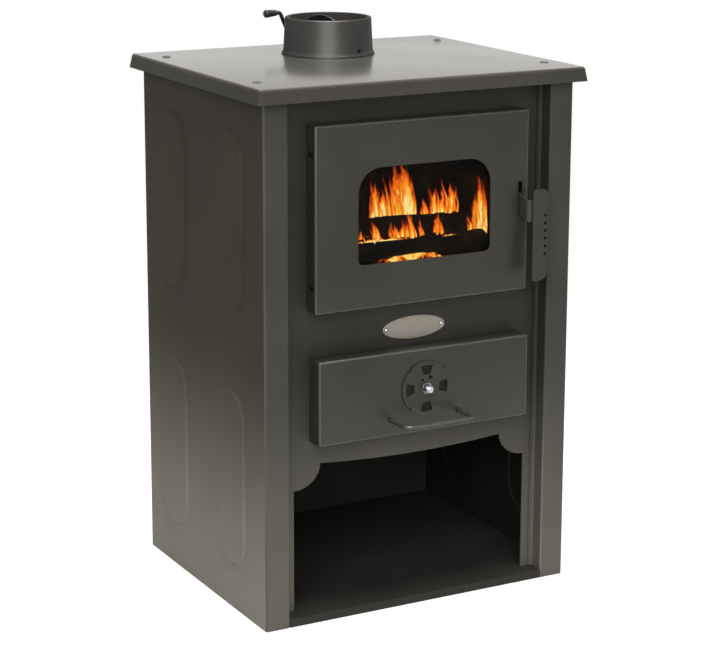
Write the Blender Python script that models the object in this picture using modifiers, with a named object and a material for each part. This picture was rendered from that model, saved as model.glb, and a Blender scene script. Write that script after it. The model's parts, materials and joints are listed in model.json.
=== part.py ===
"""Wood-burning heating stove made of folded sheet steel.

It has a cooking top with a flue collar, a glazed fire door, an ash drawer with an air rosette
and an open log bay at the bottom. The front faces -Y, the floor is z = 0 and lengths are metres.
"""
import math

import bmesh
import bpy
from mathutils import Matrix, Vector

# Fits and sheets
SEAT_GAP = 0.0003
SHEET = 0.002
BEND_RADIUS = 0.003

# Body casing
BODY_WIDTH = 0.470
BODY_DEPTH = 0.386
STOVE_HEIGHT = 0.730
POST_WIDTH = 0.036
PANEL_RECESS = 0.025
LANDING_WIDTH = 0.007
REAR_FLANGE = 0.016
PANEL_OVERLAP = 0.010

# Oval swages pressed out of each side
SWAGE_WIDTH = 0.087
SWAGE_LENGTH = 0.251
SWAGE_RISE = 0.003
SWAGE_SLOPE = 0.007
SWAGE_PITCH_Y = 0.187
SWAGE_PITCH_Z = 0.353
SWAGE_OFFSET_Y = 0.0045
SWAGE_BOTTOM = 0.061
SWAGE_STEPS = 10

# Cooking top
TOP_SHEET = 0.0025
TOP_OVERHANG_SIDE = 0.0120
TOP_OVERHANG_FRONT = 0.0135
TOP_OVERHANG_BACK = 0.0155
TOP_SKIRT = 0.0192
TOP_FLARE = 0.0025
TOP_BEND = 0.005
TOP_SCREW_INSET_SIDE = 0.016
TOP_SCREW_INSET_FRONT = 0.049
TOP_SCREW_INSET_BACK = 0.047
TOP_SCREW_RADIUS = 0.0027
TOP_SCREW_HEAD_RADIUS = 0.0062
TOP_SCREW_HEAD_HEIGHT = 0.0028
TOP_SCREW_LENGTH = 0.011
TOP_RAIL_LEG = 0.027

# Flue collar and its damper
COLLAR_X = 0.002
COLLAR_Y = 0.082
COLLAR_FOOT_RADIUS = 0.0658
COLLAR_FOOT_HEIGHT = 0.0028
COLLAR_WALL = 0.0055
COLLAR_BASE_RADIUS = 0.0640
COLLAR_RIM_RADIUS = 0.0612
COLLAR_HEIGHT = 0.052
COLLAR_SHOULDER = 0.0025
COLLAR_EDGE = 0.0008
COLLAR_SPIGOT = 0.012
DAMPER_HEIGHT = 0.0080
DAMPER_HEADING = 105.5
DAMPER_TILT = 75.0
DAMPER_PLATE_RADIUS = 0.049
DAMPER_PLATE_SHEET = 0.002
DAMPER_SLEEVE_WALL = 0.0018
DAMPER_SLEEVE_LENGTH = 0.070
SPINDLE_RADIUS = 0.003
SPINDLE_BACK_REACH = 0.0755
SPINDLE_CRANK_OUT = 0.0235
SPINDLE_CRANK_UP = 0.045
SPINDLE_END_LENGTH = 0.024
GRIP_LENGTH = 0.022
GRIP_RADIUS = 0.0058
GRIP_NECK_RADIUS = 0.0042

# Log bay at the bottom
BASE_HEIGHT = 0.0115
BASE_LIP = 0.012
BAY_LEG_WIDTH = 0.018
BAY_HEIGHT = 0.2150
BAY_SAG = 0.0060
BAY_CORNER_WIDTH = 0.040
BAY_CORNER_HEIGHT = 0.034
BAY_ROOF_RISE = 0.011
BAY_ROOF_LIP = 0.010

# Oval plate on the front panel
BADGE_WIDTH = 0.096
BADGE_HEIGHT = 0.032
BADGE_SHEET = 0.0012
BADGE_X = 0.001
BADGE_Z = 0.387
BADGE_RIVET_SPACING = 0.086
RIVET_RADIUS = 0.0012
RIVET_HEAD_RADIUS = 0.0024
RIVET_HEAD_HEIGHT = 0.0013

# Firebox behind the front panel
SHELL_INSET_SIDE = 0.050
SHELL_INSET_BACK = 0.033
FIREBOX_FLOOR = 0.375
FLOOR_LIP = 0.012
GRATE_WIDTH = 0.250
GRATE_DEPTH = 0.190
GRATE_THICKNESS = 0.012
GRATE_LEDGE = 0.010
GRATE_SLOT_WIDTH = 0.011
GRATE_SLOT_LENGTH = 0.072
GRATE_SLOTS = 9
BRICK_THICKNESS = 0.025
BRICK_HEIGHT = 0.190
BRICK_INSET_FRONT = 0.028
BRICK_CHAMFER = 0.003
BAFFLE_SHEET = 0.003
BAFFLE_BACK_Z = 0.625
BAFFLE_SLOPE = 12.0
BAFFLE_LENGTH = 0.225
LEDGE_WIDTH = 0.018
LEDGE_LEG = 0.014

# Fire door
DOOR_INSET_LEFT = 0.0370
DOOR_INSET_RIGHT = 0.0355
DOOR_BOTTOM = 0.427
DOOR_TOP = 0.676
DOOR_PROUD = 0.002
DOOR_REAR_GAP = 0.003
DOOR_BEND = 0.0025
WINDOW_INSET_LEFT = 0.0635
WINDOW_INSET_RIGHT = 0.0595
WINDOW_BOTTOM = 0.4865
WINDOW_TOP = 0.6155
WINDOW_TOP_RADIUS = 0.034
WINDOW_BOTTOM_RADIUS = 0.008
GLASS_MARGIN = 0.0125
GLASS_THICKNESS = 0.004
GLASS_TAPE = 0.002
GLASS_TAPE_SETBACK = 0.003
CLIP_SHEET = 0.0015
CLIP_BEND = 0.0018
CLIP_LENGTH = 0.190
CLIP_FOOT = 0.014
CLIP_TONGUE = 0.012
CLIP_EDGE_CLEARANCE = 0.004
STUD_SPACING = 0.150
STUD_RADIUS = 0.0017
STUD_NUT_RADIUS = 0.0040
STUD_NUT_HEIGHT = 0.0032
ROPE_RADIUS = 0.004
ROPE_CORNER_RADIUS = 0.014
ROPE_INSET_LEFT = 0.021
ROPE_INSET_RIGHT = 0.0275
ROPE_INSET_TOP = 0.014
ROPE_INSET_BOTTOM = 0.014
CHANNEL_WIDTH = 0.012
LOADING_INSET = 0.012

# Door hinges
HINGE_PIN_RADIUS = 0.003
HINGE_CLEARANCE = 0.0004
KNUCKLE_RADIUS = 0.005
KNUCKLE_LENGTH = 0.024
HINGE_AXIS_DEPTH = 0.013
HINGE_LEAF_WIDTH = 0.008
HINGE_LEAF_THICKNESS = 0.004
HINGE_UPPER_Z = 0.640
HINGE_LOWER_Z = 0.463
HINGE_NOTCH_CLEARANCE = 0.0015

# Door latch
LATCH_INSET = 0.0125
LATCH_Z = 0.5485
LATCH_AXIS_DEPTH = 0.015
LEVER_THICKNESS = 0.003
LEVER_REACH = 0.0215
LEVER_BOTTOM = 0.5330
LEVER_HEIGHT = 0.0290
LEVER_DROP = 0.0085
LEVER_TAB_WIDTH = 0.0210
SLOT_WIDTH = 0.0065
SLOT_BOTTOM = 0.5300
SLOT_TOP = 0.578
LATCH_PIN_RADIUS = 0.003
LATCH_BRACKET_WIDTH = 0.012
KEEPER_SLOT_WIDTH = 0.010
KEEPER_SLOT_BOTTOM = 0.526
KEEPER_SLOT_TOP = 0.554
HANDLE_PLATE_LEFT = 0.0075
HANDLE_PLATE_WIDTH = 0.0245
HANDLE_PLATE_BOTTOM = 0.443
HANDLE_PLATE_TOP = 0.5695
HANDLE_PLATE_THICKNESS = 0.0025
HANDLE_HOLES = 6
HANDLE_HOLE_RADIUS = 0.0022
HANDLE_HOLE_PITCH = 0.0106
HANDLE_HOLE_TOP = 0.533
HANDLE_HOLE_EDGE = 0.0045

# Ash drawer
DRAWER_INSET_LEFT = 0.0410
DRAWER_INSET_RIGHT = 0.0325
DRAWER_BOTTOM = 0.2472
DRAWER_TOP = 0.3630
DRAWER_PROUD = 0.005
DRAWER_REAR_GAP = 0.001
ASH_BOX_INSET_SIDE = 0.040
ASH_BOX_BOTTOM = 0.262
ASH_BOX_TOP = 0.345
ASH_BOX_INSET_REAR = 0.050
ASH_BOX_SHEET = 0.0015
ASH_OPENING_SIDE = 0.004
ASH_OPENING_BELOW = 0.003
ASH_OPENING_ABOVE = 0.005
RUNNER_SHEET = 0.0015
RUNNER_SIDE_CLEARANCE = 0.0025
RUNNER_SEAT_WIDTH = 0.0275
RUNNER_WEB = 0.0193
RUNNER_LEG = 0.018
DRAWER_HANDLE_X = 0.0025
DRAWER_HANDLE_Z = 0.270
DRAWER_HANDLE_SPAN = 0.1043
DRAWER_HANDLE_REACH = 0.043
DRAWER_HANDLE_RADIUS = 0.00325
DRAWER_HANDLE_BEND = 0.010
DRAWER_HANDLE_TAIL = 0.004

# Air rosette on the ash drawer
ROSETTE_X = 0.004
ROSETTE_Z = 0.3085
DISC_RADIUS = 0.0375
DISC_THICKNESS = 0.0025
DISC_NOTCH_RADIUS = 0.0025
PORT_INNER_RADIUS = 0.0195
PORT_OUTER_RADIUS = 0.0320
PORT_HALF_ANGLE = 16.5
PORTS = 4
PORT_TURN = 45.0
BOLT_RADIUS = 0.004
BOLT_CLEARANCE = 0.0004
BOLT_HEAD_RADIUS = 0.0075
BOLT_HEAD_HEIGHT = 0.005
BOLT_END = 0.0045
BOLT_SLOT_WIDTH = 0.0012
BOLT_SLOT_DEPTH = 0.0016
WASHER_RADIUS = 0.0078
WASHER_THICKNESS = 0.0015
NUT_RADIUS = 0.0075
NUT_HEIGHT = 0.0055
AIR_HOLE_RADIUS = 0.034

# Planes and heights that follow from the sizes above
FRONT = -BODY_DEPTH / 2
BACK = BODY_DEPTH / 2
HALF_WIDTH = BODY_WIDTH / 2
INNER_HALF_WIDTH = HALF_WIDTH - SHEET - SEAT_GAP
POST_INNER = HALF_WIDTH - POST_WIDTH
PANEL_FRONT = FRONT + PANEL_RECESS
PANEL_BACK = PANEL_FRONT + SHEET
LANDING_FRONT = PANEL_FRONT - SEAT_GAP - SHEET
BEHIND_PANEL = PANEL_BACK + SEAT_GAP
BACK_PANEL_FRONT = BACK - 2 * SHEET - SEAT_GAP
TOP_UNDERSIDE = STOVE_HEIGHT - TOP_SHEET
CASING_TOP = TOP_UNDERSIDE - SEAT_GAP
FLOOR_SEAT = BASE_HEIGHT + SEAT_GAP
BAY_HALF_WIDTH = POST_INNER - BAY_LEG_WIDTH
BAY_ROOF = BAY_HEIGHT + BAY_ROOF_RISE
SHELL_HALF_WIDTH = HALF_WIDTH - SHELL_INSET_SIDE
SHELL_BACK = BACK - SHELL_INSET_BACK
SHELL_BOTTOM = BAY_ROOF + SEAT_GAP
SHELL_INNER = SHELL_HALF_WIDTH - SHEET - SEAT_GAP
SHELL_BACK_INNER = SHELL_BACK - SHEET - SEAT_GAP
GRATE_Y = (BEHIND_PANEL + SHELL_BACK_INNER - BRICK_THICKNESS) / 2
DOOR_LEFT = DOOR_INSET_LEFT - POST_INNER
DOOR_RIGHT = POST_INNER - DOOR_INSET_RIGHT
WINDOW_LEFT = DOOR_LEFT + WINDOW_INSET_LEFT
WINDOW_RIGHT = DOOR_RIGHT - WINDOW_INSET_RIGHT
DOOR_FACE = FRONT - DOOR_PROUD
DOOR_INNER = DOOR_FACE + SHEET
DOOR_REAR = PANEL_FRONT - DOOR_REAR_GAP
DOOR_SEAT = DOOR_INNER + SEAT_GAP
DRAWER_LEFT = DRAWER_INSET_LEFT - POST_INNER
DRAWER_RIGHT = POST_INNER - DRAWER_INSET_RIGHT
ASH_BOX_HALF_WIDTH = SHELL_HALF_WIDTH - ASH_BOX_INSET_SIDE
ASH_BOX_REAR = SHELL_BACK - ASH_BOX_INSET_REAR
DRAWER_FACE = FRONT - DRAWER_PROUD
DRAWER_INNER = DRAWER_FACE + SHEET
DRAWER_REAR = PANEL_FRONT - DRAWER_REAR_GAP
ROPE_Y = PANEL_FRONT - SEAT_GAP - ROPE_RADIUS
HINGE_X = DOOR_LEFT + SHEET + SEAT_GAP + KNUCKLE_RADIUS
HINGE_Y = DOOR_FACE + HINGE_AXIS_DEPTH
LATCH_X = DOOR_RIGHT - LATCH_INSET
LATCH_Y = DOOR_FACE + LATCH_AXIS_DEPTH
LEVER_END = DOOR_FACE - LEVER_REACH
DAMPER_Z = STOVE_HEIGHT + DAMPER_HEIGHT

# The origin is under the middle of the whole stove, its drawer handle included
FRONT_REACH = DRAWER_FACE - DRAWER_HANDLE_REACH - DRAWER_HANDLE_RADIUS
BACK_REACH = BACK + TOP_OVERHANG_BACK + TOP_FLARE
ORIGIN_SHIFT = -(FRONT_REACH + BACK_REACH) / 2

ARC_STEPS = 4


def clear_scene():
    for obj in list(bpy.data.objects):
        bpy.data.objects.remove(obj, do_unlink=True)


def new_collection(name):
    collection = bpy.data.collections.new(name)
    bpy.context.scene.collection.children.link(collection)
    return collection


clear_scene()
STOVE = new_collection("heating_stove")
CUTTERS = new_collection("cutters")


def finish(name, colour, roughness, metallic):
    """A plain material: sRGB colour as a hex string, roughness and metallic value."""
    material = bpy.data.materials.new(name)
    material.use_nodes = True
    shader = material.node_tree.nodes["Principled BSDF"]
    channels = [int(colour[i:i + 2], 16) / 255 for i in (0, 2, 4)]
    linear = [c / 12.92 if c <= 0.04045 else ((c + 0.055) / 1.055) ** 2.4 for c in channels]
    shader.inputs["Base Color"].default_value = (*linear, 1)
    shader.inputs["Roughness"].default_value = roughness
    shader.inputs["Metallic"].default_value = metallic
    material.diffuse_color = (*linear, 1)
    return material


PAINT = finish("stove_paint", "504f4a", 0.5, 0.2)
RAW_STEEL = finish("raw_steel", "3a3937", 0.6, 0.6)
CAST_IRON = finish("cast_iron", "454542", 0.6, 0.3)
FIREBRICK = finish("firebrick", "b89f7c", 0.9, 0.0)
CERAMIC_GLASS = finish("ceramic_glass", "1a1714", 0.1, 0.0)
GLASS_FIBRE = finish("glass_fibre", "8d8a83", 0.95, 0.0)
ZINC = finish("zinc_plate", "c9ccd0", 0.25, 1.0)
BRUSHED_PLATE = finish("brushed_plate", "9a9488", 0.35, 0.9)


# Placing objects

STOVE_FRAME = bpy.data.objects.new("stove_frame", None)
STOVE_FRAME.location = (0, ORIGIN_SHIFT, 0)
STOVE.objects.link(STOVE_FRAME)


def joint_frame(name, place, parent=None):
    """An empty on a joint's axis, which carries the pieces that move about it."""
    empty = bpy.data.objects.new(name, None)
    empty.parent = parent or STOVE_FRAME
    stove_place = Vector(place)
    empty["stove_place"] = tuple(stove_place)
    origin = Vector(parent["stove_place"]) if parent else Vector((0, 0, 0))
    empty.location = stove_place - origin
    STOVE.objects.link(empty)
    return empty


def carry(obj, frame=None):
    """Hangs an object, made in the stove's own coordinates, on the stove or a joint's empty."""
    obj.parent = frame or STOVE_FRAME
    if frame:
        obj.location = obj.location - Vector(frame["stove_place"])
    return obj


def add_object(name, bm, material, frame=None, smooth=True):
    mesh = bpy.data.meshes.new(name)
    bm.to_mesh(mesh)
    bm.free()
    if smooth:
        mesh.shade_smooth()
        mesh.set_sharp_from_angle(angle=math.radians(35))
    mesh.materials.append(material)
    obj = bpy.data.objects.new(name, mesh)
    STOVE.objects.link(obj)
    return carry(obj, frame)


def add_cutter(name, bm, frame=None):
    obj = add_object(name, bm, RAW_STEEL, frame, smooth=False)
    STOVE.objects.unlink(obj)
    CUTTERS.objects.link(obj)
    obj.hide_render = True
    obj.display_type = "WIRE"
    return obj


def boolean(obj, other, operation="DIFFERENCE"):
    modifier = obj.modifiers.new(operation.lower(), "BOOLEAN")
    modifier.operation = operation
    modifier.solver = "EXACT"
    modifier.object = other


def cut(obj, bm, frame=None):
    boolean(obj, add_cutter(obj.name + "_cut", bm, frame))


def join(obj, bm, frame=None):
    boolean(obj, add_cutter(obj.name + "_join", bm, frame), "UNION")


# Solids and outlines

def add_box(bm, low, high):
    low, high = Vector(low), Vector(high)
    matrix = Matrix.Translation((low + high) / 2) @ Matrix.Diagonal((*(high - low), 1))
    bmesh.ops.create_cube(bm, size=1, matrix=matrix)
    return bm


def add_cylinder(bm, start, end, radius, segments=24, end_radius=None):
    start, end = Vector(start), Vector(end)
    along = end - start
    matrix = Matrix.Translation((start + end) / 2) @ along.to_track_quat("Z", "Y").to_matrix().to_4x4()
    bmesh.ops.create_cone(
        bm, cap_ends=True, segments=segments, radius1=radius,
        radius2=radius if end_radius is None else end_radius, depth=along.length, matrix=matrix,
    )
    return bm


def arc(centre, radius, start, end, steps=6, radius_v=None):
    """Points of an arc from start to end degrees; radius_v makes it elliptical."""
    radius_v = radius if radius_v is None else radius_v
    angles = [math.radians(start + (end - start) * i / steps) for i in range(steps + 1)]
    return [(centre[0] + radius * math.cos(a), centre[1] + radius_v * math.sin(a)) for a in angles]


def circle(centre, radius, steps=24, radius_v=None):
    return arc(centre, radius, 0, 360, steps, radius_v)[:-1]


def rounded_rectangle(left, right, bottom, top, radii, steps=ARC_STEPS):
    """Counter-clockwise outline; radii are bottom left, bottom right, top right and top left."""
    bl, br, tr, tl = radii
    points = arc((left + bl, bottom + bl), bl, 180, 270, steps)
    points += arc((right - br, bottom + br), br, 270, 360, steps)
    points += arc((right - tr, top - tr), tr, 0, 90, steps)
    points += arc((left + tl, top - tl), tl, 90, 180, steps)
    return points


def fillet_path(corners, radius, steps=ARC_STEPS):
    """An open path through the corners, each inner one rounded with an arc."""
    corners = [Vector(c) for c in corners]
    points = [corners[0]]
    for before, corner, after in zip(corners, corners[1:], corners[2:]):
        back, ahead = (before - corner).normalized(), (after - corner).normalized()
        half = back.angle(ahead) / 2
        centre = corner + (back + ahead).normalized() * (radius / math.sin(half))
        start = corner + back * (radius / math.tan(half)) - centre
        axis = start.cross(corner + ahead * (radius / math.tan(half)) - centre).normalized()
        turn = math.pi - 2 * half
        points += [centre + Matrix.Rotation(turn * i / steps, 3, axis) @ start for i in range(steps + 1)]
    points.append(corners[-1])
    return points


def curve_object(name, splines, cyclic):
    curve = bpy.data.curves.new(name, "CURVE")
    for points in splines:
        spline = curve.splines.new("POLY")
        spline.points.add(len(points) - 1)
        for slot, point in zip(spline.points, points):
            slot.co = (*Vector(point).to_3d(), 1)
        spline.use_cyclic_u = cyclic
    obj = bpy.data.objects.new(name, curve)
    STOVE.objects.link(obj)
    return obj


def curve_to_mesh(obj, material):
    """Turns a curve object into a welded mesh object of the same name and place."""
    bpy.context.view_layer.update()
    evaluated = obj.evaluated_get(bpy.context.evaluated_depsgraph_get())
    bm = bmesh.new()
    bm.from_mesh(bpy.data.meshes.new_from_object(evaluated))
    bm.transform(obj.matrix_world)
    bmesh.ops.remove_doubles(bm, verts=bm.verts, dist=0.00001)
    name = obj.name
    bpy.data.objects.remove(obj, do_unlink=True)
    return name, bm


def plate_bmesh(outlines, low, high, facing="Y"):
    """A flat plate between two planes; outlines are (x, z), (y, z) or (x, y) for Y, X or Z."""
    obj = curve_object("outline", outlines, True)
    obj.data.dimensions = "2D"
    obj.data.fill_mode = "BOTH"
    obj.data.extrude = (high - low) / 2
    middle = (low + high) / 2
    turn = {"Y": (math.pi / 2, 0, 0), "X": (math.pi / 2, 0, math.pi / 2), "Z": (0, 0, 0)}[facing]
    obj.rotation_euler = turn
    obj.location = {"Y": (0, middle, 0), "X": (middle, 0, 0), "Z": (0, 0, middle)}[facing]
    return curve_to_mesh(obj, None)[1]


def plate(name, outlines, low, high, material, frame=None, facing="Y"):
    return add_object(name, plate_bmesh(outlines, low, high, facing), material, frame)


def solidify(obj, thickness):
    modifier = obj.modifiers.new("sheet", "SOLIDIFY")
    modifier.thickness = thickness
    modifier.offset = -1
    modifier.use_even_offset = True
    return obj


def folded_sheet(name, corners, extrude, thickness, material, frame=None, bend=BEND_RADIUS):
    """A strip folded along its corners, seen from its outer side, where path x extrude points."""
    path = fillet_path(corners, bend)
    bm = bmesh.new()
    near = [bm.verts.new(p) for p in path]
    far = [bm.verts.new(p + Vector(extrude)) for p in path]
    for a, b, c, d in zip(near, near[1:], far[1:], far):
        bm.faces.new((a, b, c, d))
    bm.normal_update()
    return solidify(add_object(name, bm, material, frame), thickness)


def sheet_pan(name, low, high, open_side, thickness, bend, material, frame=None, flare=0.0):
    """A box of folded sheet with one side open, and the rim turned out by flare."""
    open_side = Vector(open_side)
    bm = add_box(bmesh.new(), low, high)
    bm.normal_update()
    bmesh.ops.delete(bm, geom=[f for f in bm.faces if f.normal.dot(open_side) > 0.9], context="FACES")
    edges = [e for e in bm.edges if not e.is_boundary]
    bmesh.ops.bevel(bm, geom=edges, offset=bend, segments=3, affect="EDGES", profile=0.5)
    middle = (Vector(low) + Vector(high)) / 2
    if flare:
        for vert in {v for e in bm.edges if e.is_boundary for v in e.verts}:
            vert.co.x += math.copysign(flare, vert.co.x - middle.x)
            vert.co.y += math.copysign(flare, vert.co.y - middle.y)
    bm.normal_update()
    return solidify(add_object(name, bm, material, frame), thickness)


def turned(name, profile, start, along, material, frame=None, steps=24, closed=False):
    """A turned piece: (radius, height) points down the outer side, round an axis from start."""
    bm = bmesh.new()
    verts = [bm.verts.new((radius, 0, height)) for radius, height in profile]
    pairs = list(zip(verts, verts[1:])) + ([(verts[-1], verts[0])] if closed else [])
    for pair in pairs:
        bm.edges.new(pair)
    mesh = bpy.data.meshes.new(name)
    bm.to_mesh(mesh)
    bm.free()
    mesh.materials.append(material)
    obj = bpy.data.objects.new(name, mesh)
    STOVE.objects.link(obj)
    screw = obj.modifiers.new("turn", "SCREW")
    screw.axis = "Z"
    screw.angle = math.tau
    screw.steps = steps
    screw.render_steps = steps
    screw.use_merge_vertices = True
    screw.merge_threshold = 0.00001
    screw.use_smooth_shade = True
    obj.rotation_mode = "QUATERNION"
    obj.rotation_quaternion = Vector(along).to_track_quat("Z", "Y")
    obj.location = start
    return carry(obj, frame)


def wire(name, points, radius, material, frame=None, cyclic=False):
    obj = curve_object(name, [points], cyclic)
    obj.data.dimensions = "3D"
    obj.data.bevel_depth = radius
    obj.data.bevel_resolution = 2
    obj.data.use_fill_caps = True
    obj.data.materials.append(material)
    return carry(obj, frame)


def tube_bmesh(points, radius, cyclic=False):
    obj = curve_object("tube", [points], cyclic)
    obj.data.dimensions = "3D"
    obj.data.bevel_depth = radius
    obj.data.bevel_resolution = 2
    obj.data.use_fill_caps = True
    return curve_to_mesh(obj, None)[1]


def mirrored(corners, side):
    """The left side's corners for side -1; for side 1 their mirror image, run the other way."""
    if side < 0:
        return corners
    return [(-x, y, z) for x, y, z in reversed(corners)]


# Casing

def stadium(bm, x, height, centre_y, centre_z, half_width, half_length, slope):
    """Adds an oval boss along X: its foot at x, its smaller top at x + height."""
    rings = []
    for level, inset in ((x, 0.0), (x + height, slope)):
        radius = half_width - inset
        reach = half_length - half_width
        outline = arc((centre_y, centre_z + reach), radius, 0, 180, SWAGE_STEPS)
        outline += arc((centre_y, centre_z - reach), radius, 180, 360, SWAGE_STEPS)
        rings.append([bm.verts.new((level, y, z)) for y, z in outline])
    foot, top = rings
    count = len(foot)
    for i in range(count):
        j = (i + 1) % count
        bm.faces.new((foot[i], foot[j], top[j], top[i]))
    bm.faces.new(list(reversed(foot)))
    bm.faces.new(top)
    bmesh.ops.recalc_face_normals(bm, faces=bm.faces)


def side_panel(name, side):
    """One sheet folded into the side, the front post with its landing, and a rear flange."""
    corners = [
        (-HALF_WIDTH + REAR_FLANGE, BACK, 0), (-HALF_WIDTH, BACK, 0), (-HALF_WIDTH, FRONT, 0),
        (-POST_INNER, FRONT, 0), (-POST_INNER, LANDING_FRONT, 0),
        (-POST_INNER + LANDING_WIDTH, LANDING_FRONT, 0),
    ]
    panel = folded_sheet(name, mirrored(corners, side), (0, 0, CASING_TOP), SHEET, PAINT)
    bosses, hollows = bmesh.new(), bmesh.new()
    root = SHEET / 4
    for row in (-0.5, 0.5):
        for column in (0, 1):
            y = SWAGE_OFFSET_Y + row * SWAGE_PITCH_Y
            z = SWAGE_BOTTOM + SWAGE_LENGTH / 2 + column * SWAGE_PITCH_Z
            size = (SWAGE_WIDTH / 2, SWAGE_LENGTH / 2)
            stadium(bosses, side * (HALF_WIDTH - root), side * (SWAGE_RISE + root), y, z, *size, SWAGE_SLOPE)
            inner = [s - root for s in size]
            depth = side * (SWAGE_RISE + 2 * root)
            stadium(hollows, side * (HALF_WIDTH - SHEET - 2 * root), depth, y, z, *inner, SWAGE_SLOPE)
    join(panel, bosses)
    cut(panel, hollows)
    foot = bmesh.new()
    clear = POST_INNER - LANDING_WIDTH - SHEET
    low = (min(side * clear, side * (POST_INNER + 2 * SHEET + SEAT_GAP)), LANDING_FRONT - BEND_RADIUS, -SHEET)
    high = (max(side * clear, side * (POST_INNER + 2 * SHEET + SEAT_GAP)), PANEL_BACK, FLOOR_SEAT)
    add_box(foot, low, high)
    cut(panel, foot)
    return panel


def bay_outline():
    """Front panel outline from the left leg, over the log bay's arch and round the sheet."""
    half = POST_INNER + PANEL_OVERLAP
    corner = (-BAY_HALF_WIDTH, BAY_HEIGHT)
    left = arc(corner, BAY_CORNER_WIDTH, 270, 360, 8, BAY_CORNER_HEIGHT)
    start = BAY_HALF_WIDTH - BAY_CORNER_WIDTH
    steps = 12
    sag = [-start + 2 * start * i / steps for i in range(1, steps)]
    middle = [(x, BAY_HEIGHT - BAY_SAG * (1 - (x / start) ** 2)) for x in sag]
    right = [(-x, z) for x, z in reversed(left)]
    arch = [(-BAY_HALF_WIDTH, FLOOR_SEAT)] + left + middle + right + [(BAY_HALF_WIDTH, FLOOR_SEAT)]
    return [(half, FLOOR_SEAT), (half, CASING_TOP), (-half, CASING_TOP), (-half, FLOOR_SEAT)] + arch


def loading_opening():
    inset = CHANNEL_WIDTH / 2 + LOADING_INSET / 2
    return (
        DOOR_LEFT + ROPE_INSET_LEFT + inset, DOOR_RIGHT - ROPE_INSET_RIGHT - inset,
        DOOR_BOTTOM + ROPE_INSET_BOTTOM + inset, DOOR_TOP - ROPE_INSET_TOP - inset,
    )


def front_panel():
    loading = rounded_rectangle(*loading_opening(), [ROPE_CORNER_RADIUS] * 4)
    half = ASH_BOX_HALF_WIDTH + ASH_OPENING_SIDE
    ash = rounded_rectangle(
        -half, half, ASH_BOX_BOTTOM - ASH_OPENING_BELOW, ASH_BOX_TOP + ASH_OPENING_ABOVE, [0.004] * 4, 2)
    half = KEEPER_SLOT_WIDTH / 2
    keeper = rounded_rectangle(
        LATCH_X - half, LATCH_X + half, KEEPER_SLOT_BOTTOM, KEEPER_SLOT_TOP, [0.001] * 4, 1)
    rivets = [circle((BADGE_X + s * BADGE_RIVET_SPACING / 2, BADGE_Z), RIVET_RADIUS + SEAT_GAP, 10)
              for s in (-1, 1)]
    outlines = [bay_outline(), loading, ash, keeper] + rivets
    plate("front_panel", outlines, PANEL_FRONT, PANEL_BACK, PAINT)


def back_panel():
    half = HALF_WIDTH - BEND_RADIUS
    outline = [(-half, 0), (half, 0), (half, CASING_TOP), (-half, CASING_TOP)]
    plate("back_panel", [outline], BACK_PANEL_FRONT, BACK_PANEL_FRONT + SHEET, PAINT)


def base_plate():
    """Bay floor: a folded tray, upside down, with a front strip between the posts and inner lips."""
    narrow, wide = POST_INNER - SEAT_GAP, INNER_HALF_WIDTH
    step, rear = LANDING_FRONT + SHEET + SEAT_GAP, BACK_PANEL_FRONT - SEAT_GAP
    right = [(narrow, FRONT), (narrow, step), (wide, step), (wide, rear)]
    outline = [(-x, y) for x, y in reversed(right)] + right
    bm = bmesh.new()
    top = bm.faces.new([bm.verts.new((x, y, BASE_HEIGHT)) for x, y in outline])
    bm.normal_update()
    if top.normal.z < 0:
        top.normal_flip()
    walls = bmesh.ops.extrude_face_region(bm, geom=[top])
    lower = [g for g in walls["geom"] if isinstance(g, bmesh.types.BMFace)][0]
    for vert in lower.verts:
        vert.co.z = 0
    bmesh.ops.inset_region(bm, faces=[lower], thickness=BASE_LIP, use_even_offset=True)
    bmesh.ops.delete(bm, geom=[lower], context="FACES")
    bmesh.ops.recalc_face_normals(bm, faces=bm.faces)
    if max(bm.faces, key=lambda f: f.calc_center_median().z).normal.z < 0:
        bmesh.ops.reverse_faces(bm, faces=bm.faces)
    solidify(add_object("base_plate", bm, PAINT, smooth=False), SHEET)


def bay_roof():
    low = (-INNER_HALF_WIDTH, BEHIND_PANEL, BAY_ROOF - BAY_ROOF_LIP)
    high = (INNER_HALF_WIDTH, BACK_PANEL_FRONT - SEAT_GAP, BAY_ROOF)
    sheet_pan("bay_roof", low, high, (0, 0, -1), SHEET, BEND_RADIUS, RAW_STEEL)


# Cooking top, collar and damper

def screw_places():
    x = HALF_WIDTH - TOP_SCREW_INSET_SIDE
    return [(side * x, y) for side in (-1, 1) for y in (FRONT + TOP_SCREW_INSET_FRONT, BACK - TOP_SCREW_INSET_BACK)]


def top_plate():
    low = (-HALF_WIDTH - TOP_OVERHANG_SIDE, FRONT - TOP_OVERHANG_FRONT, STOVE_HEIGHT - TOP_SKIRT)
    high = (HALF_WIDTH + TOP_OVERHANG_SIDE, BACK + TOP_OVERHANG_BACK, STOVE_HEIGHT)
    top = sheet_pan("top_plate", low, high, (0, 0, -1), TOP_SHEET, TOP_BEND, PAINT, flare=TOP_FLARE)
    holes = bmesh.new()
    below, above = STOVE_HEIGHT - 2 * TOP_SKIRT, STOVE_HEIGHT + TOP_SKIRT
    spigot = COLLAR_BASE_RADIUS - COLLAR_WALL / 2 + SEAT_GAP
    add_cylinder(holes, (COLLAR_X, COLLAR_Y, below), (COLLAR_X, COLLAR_Y, above), spigot, 48)
    for x, y in screw_places():
        add_cylinder(holes, (x, y, below), (x, y, above), TOP_SCREW_RADIUS + SEAT_GAP, 12)
    cut(top, holes)


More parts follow.
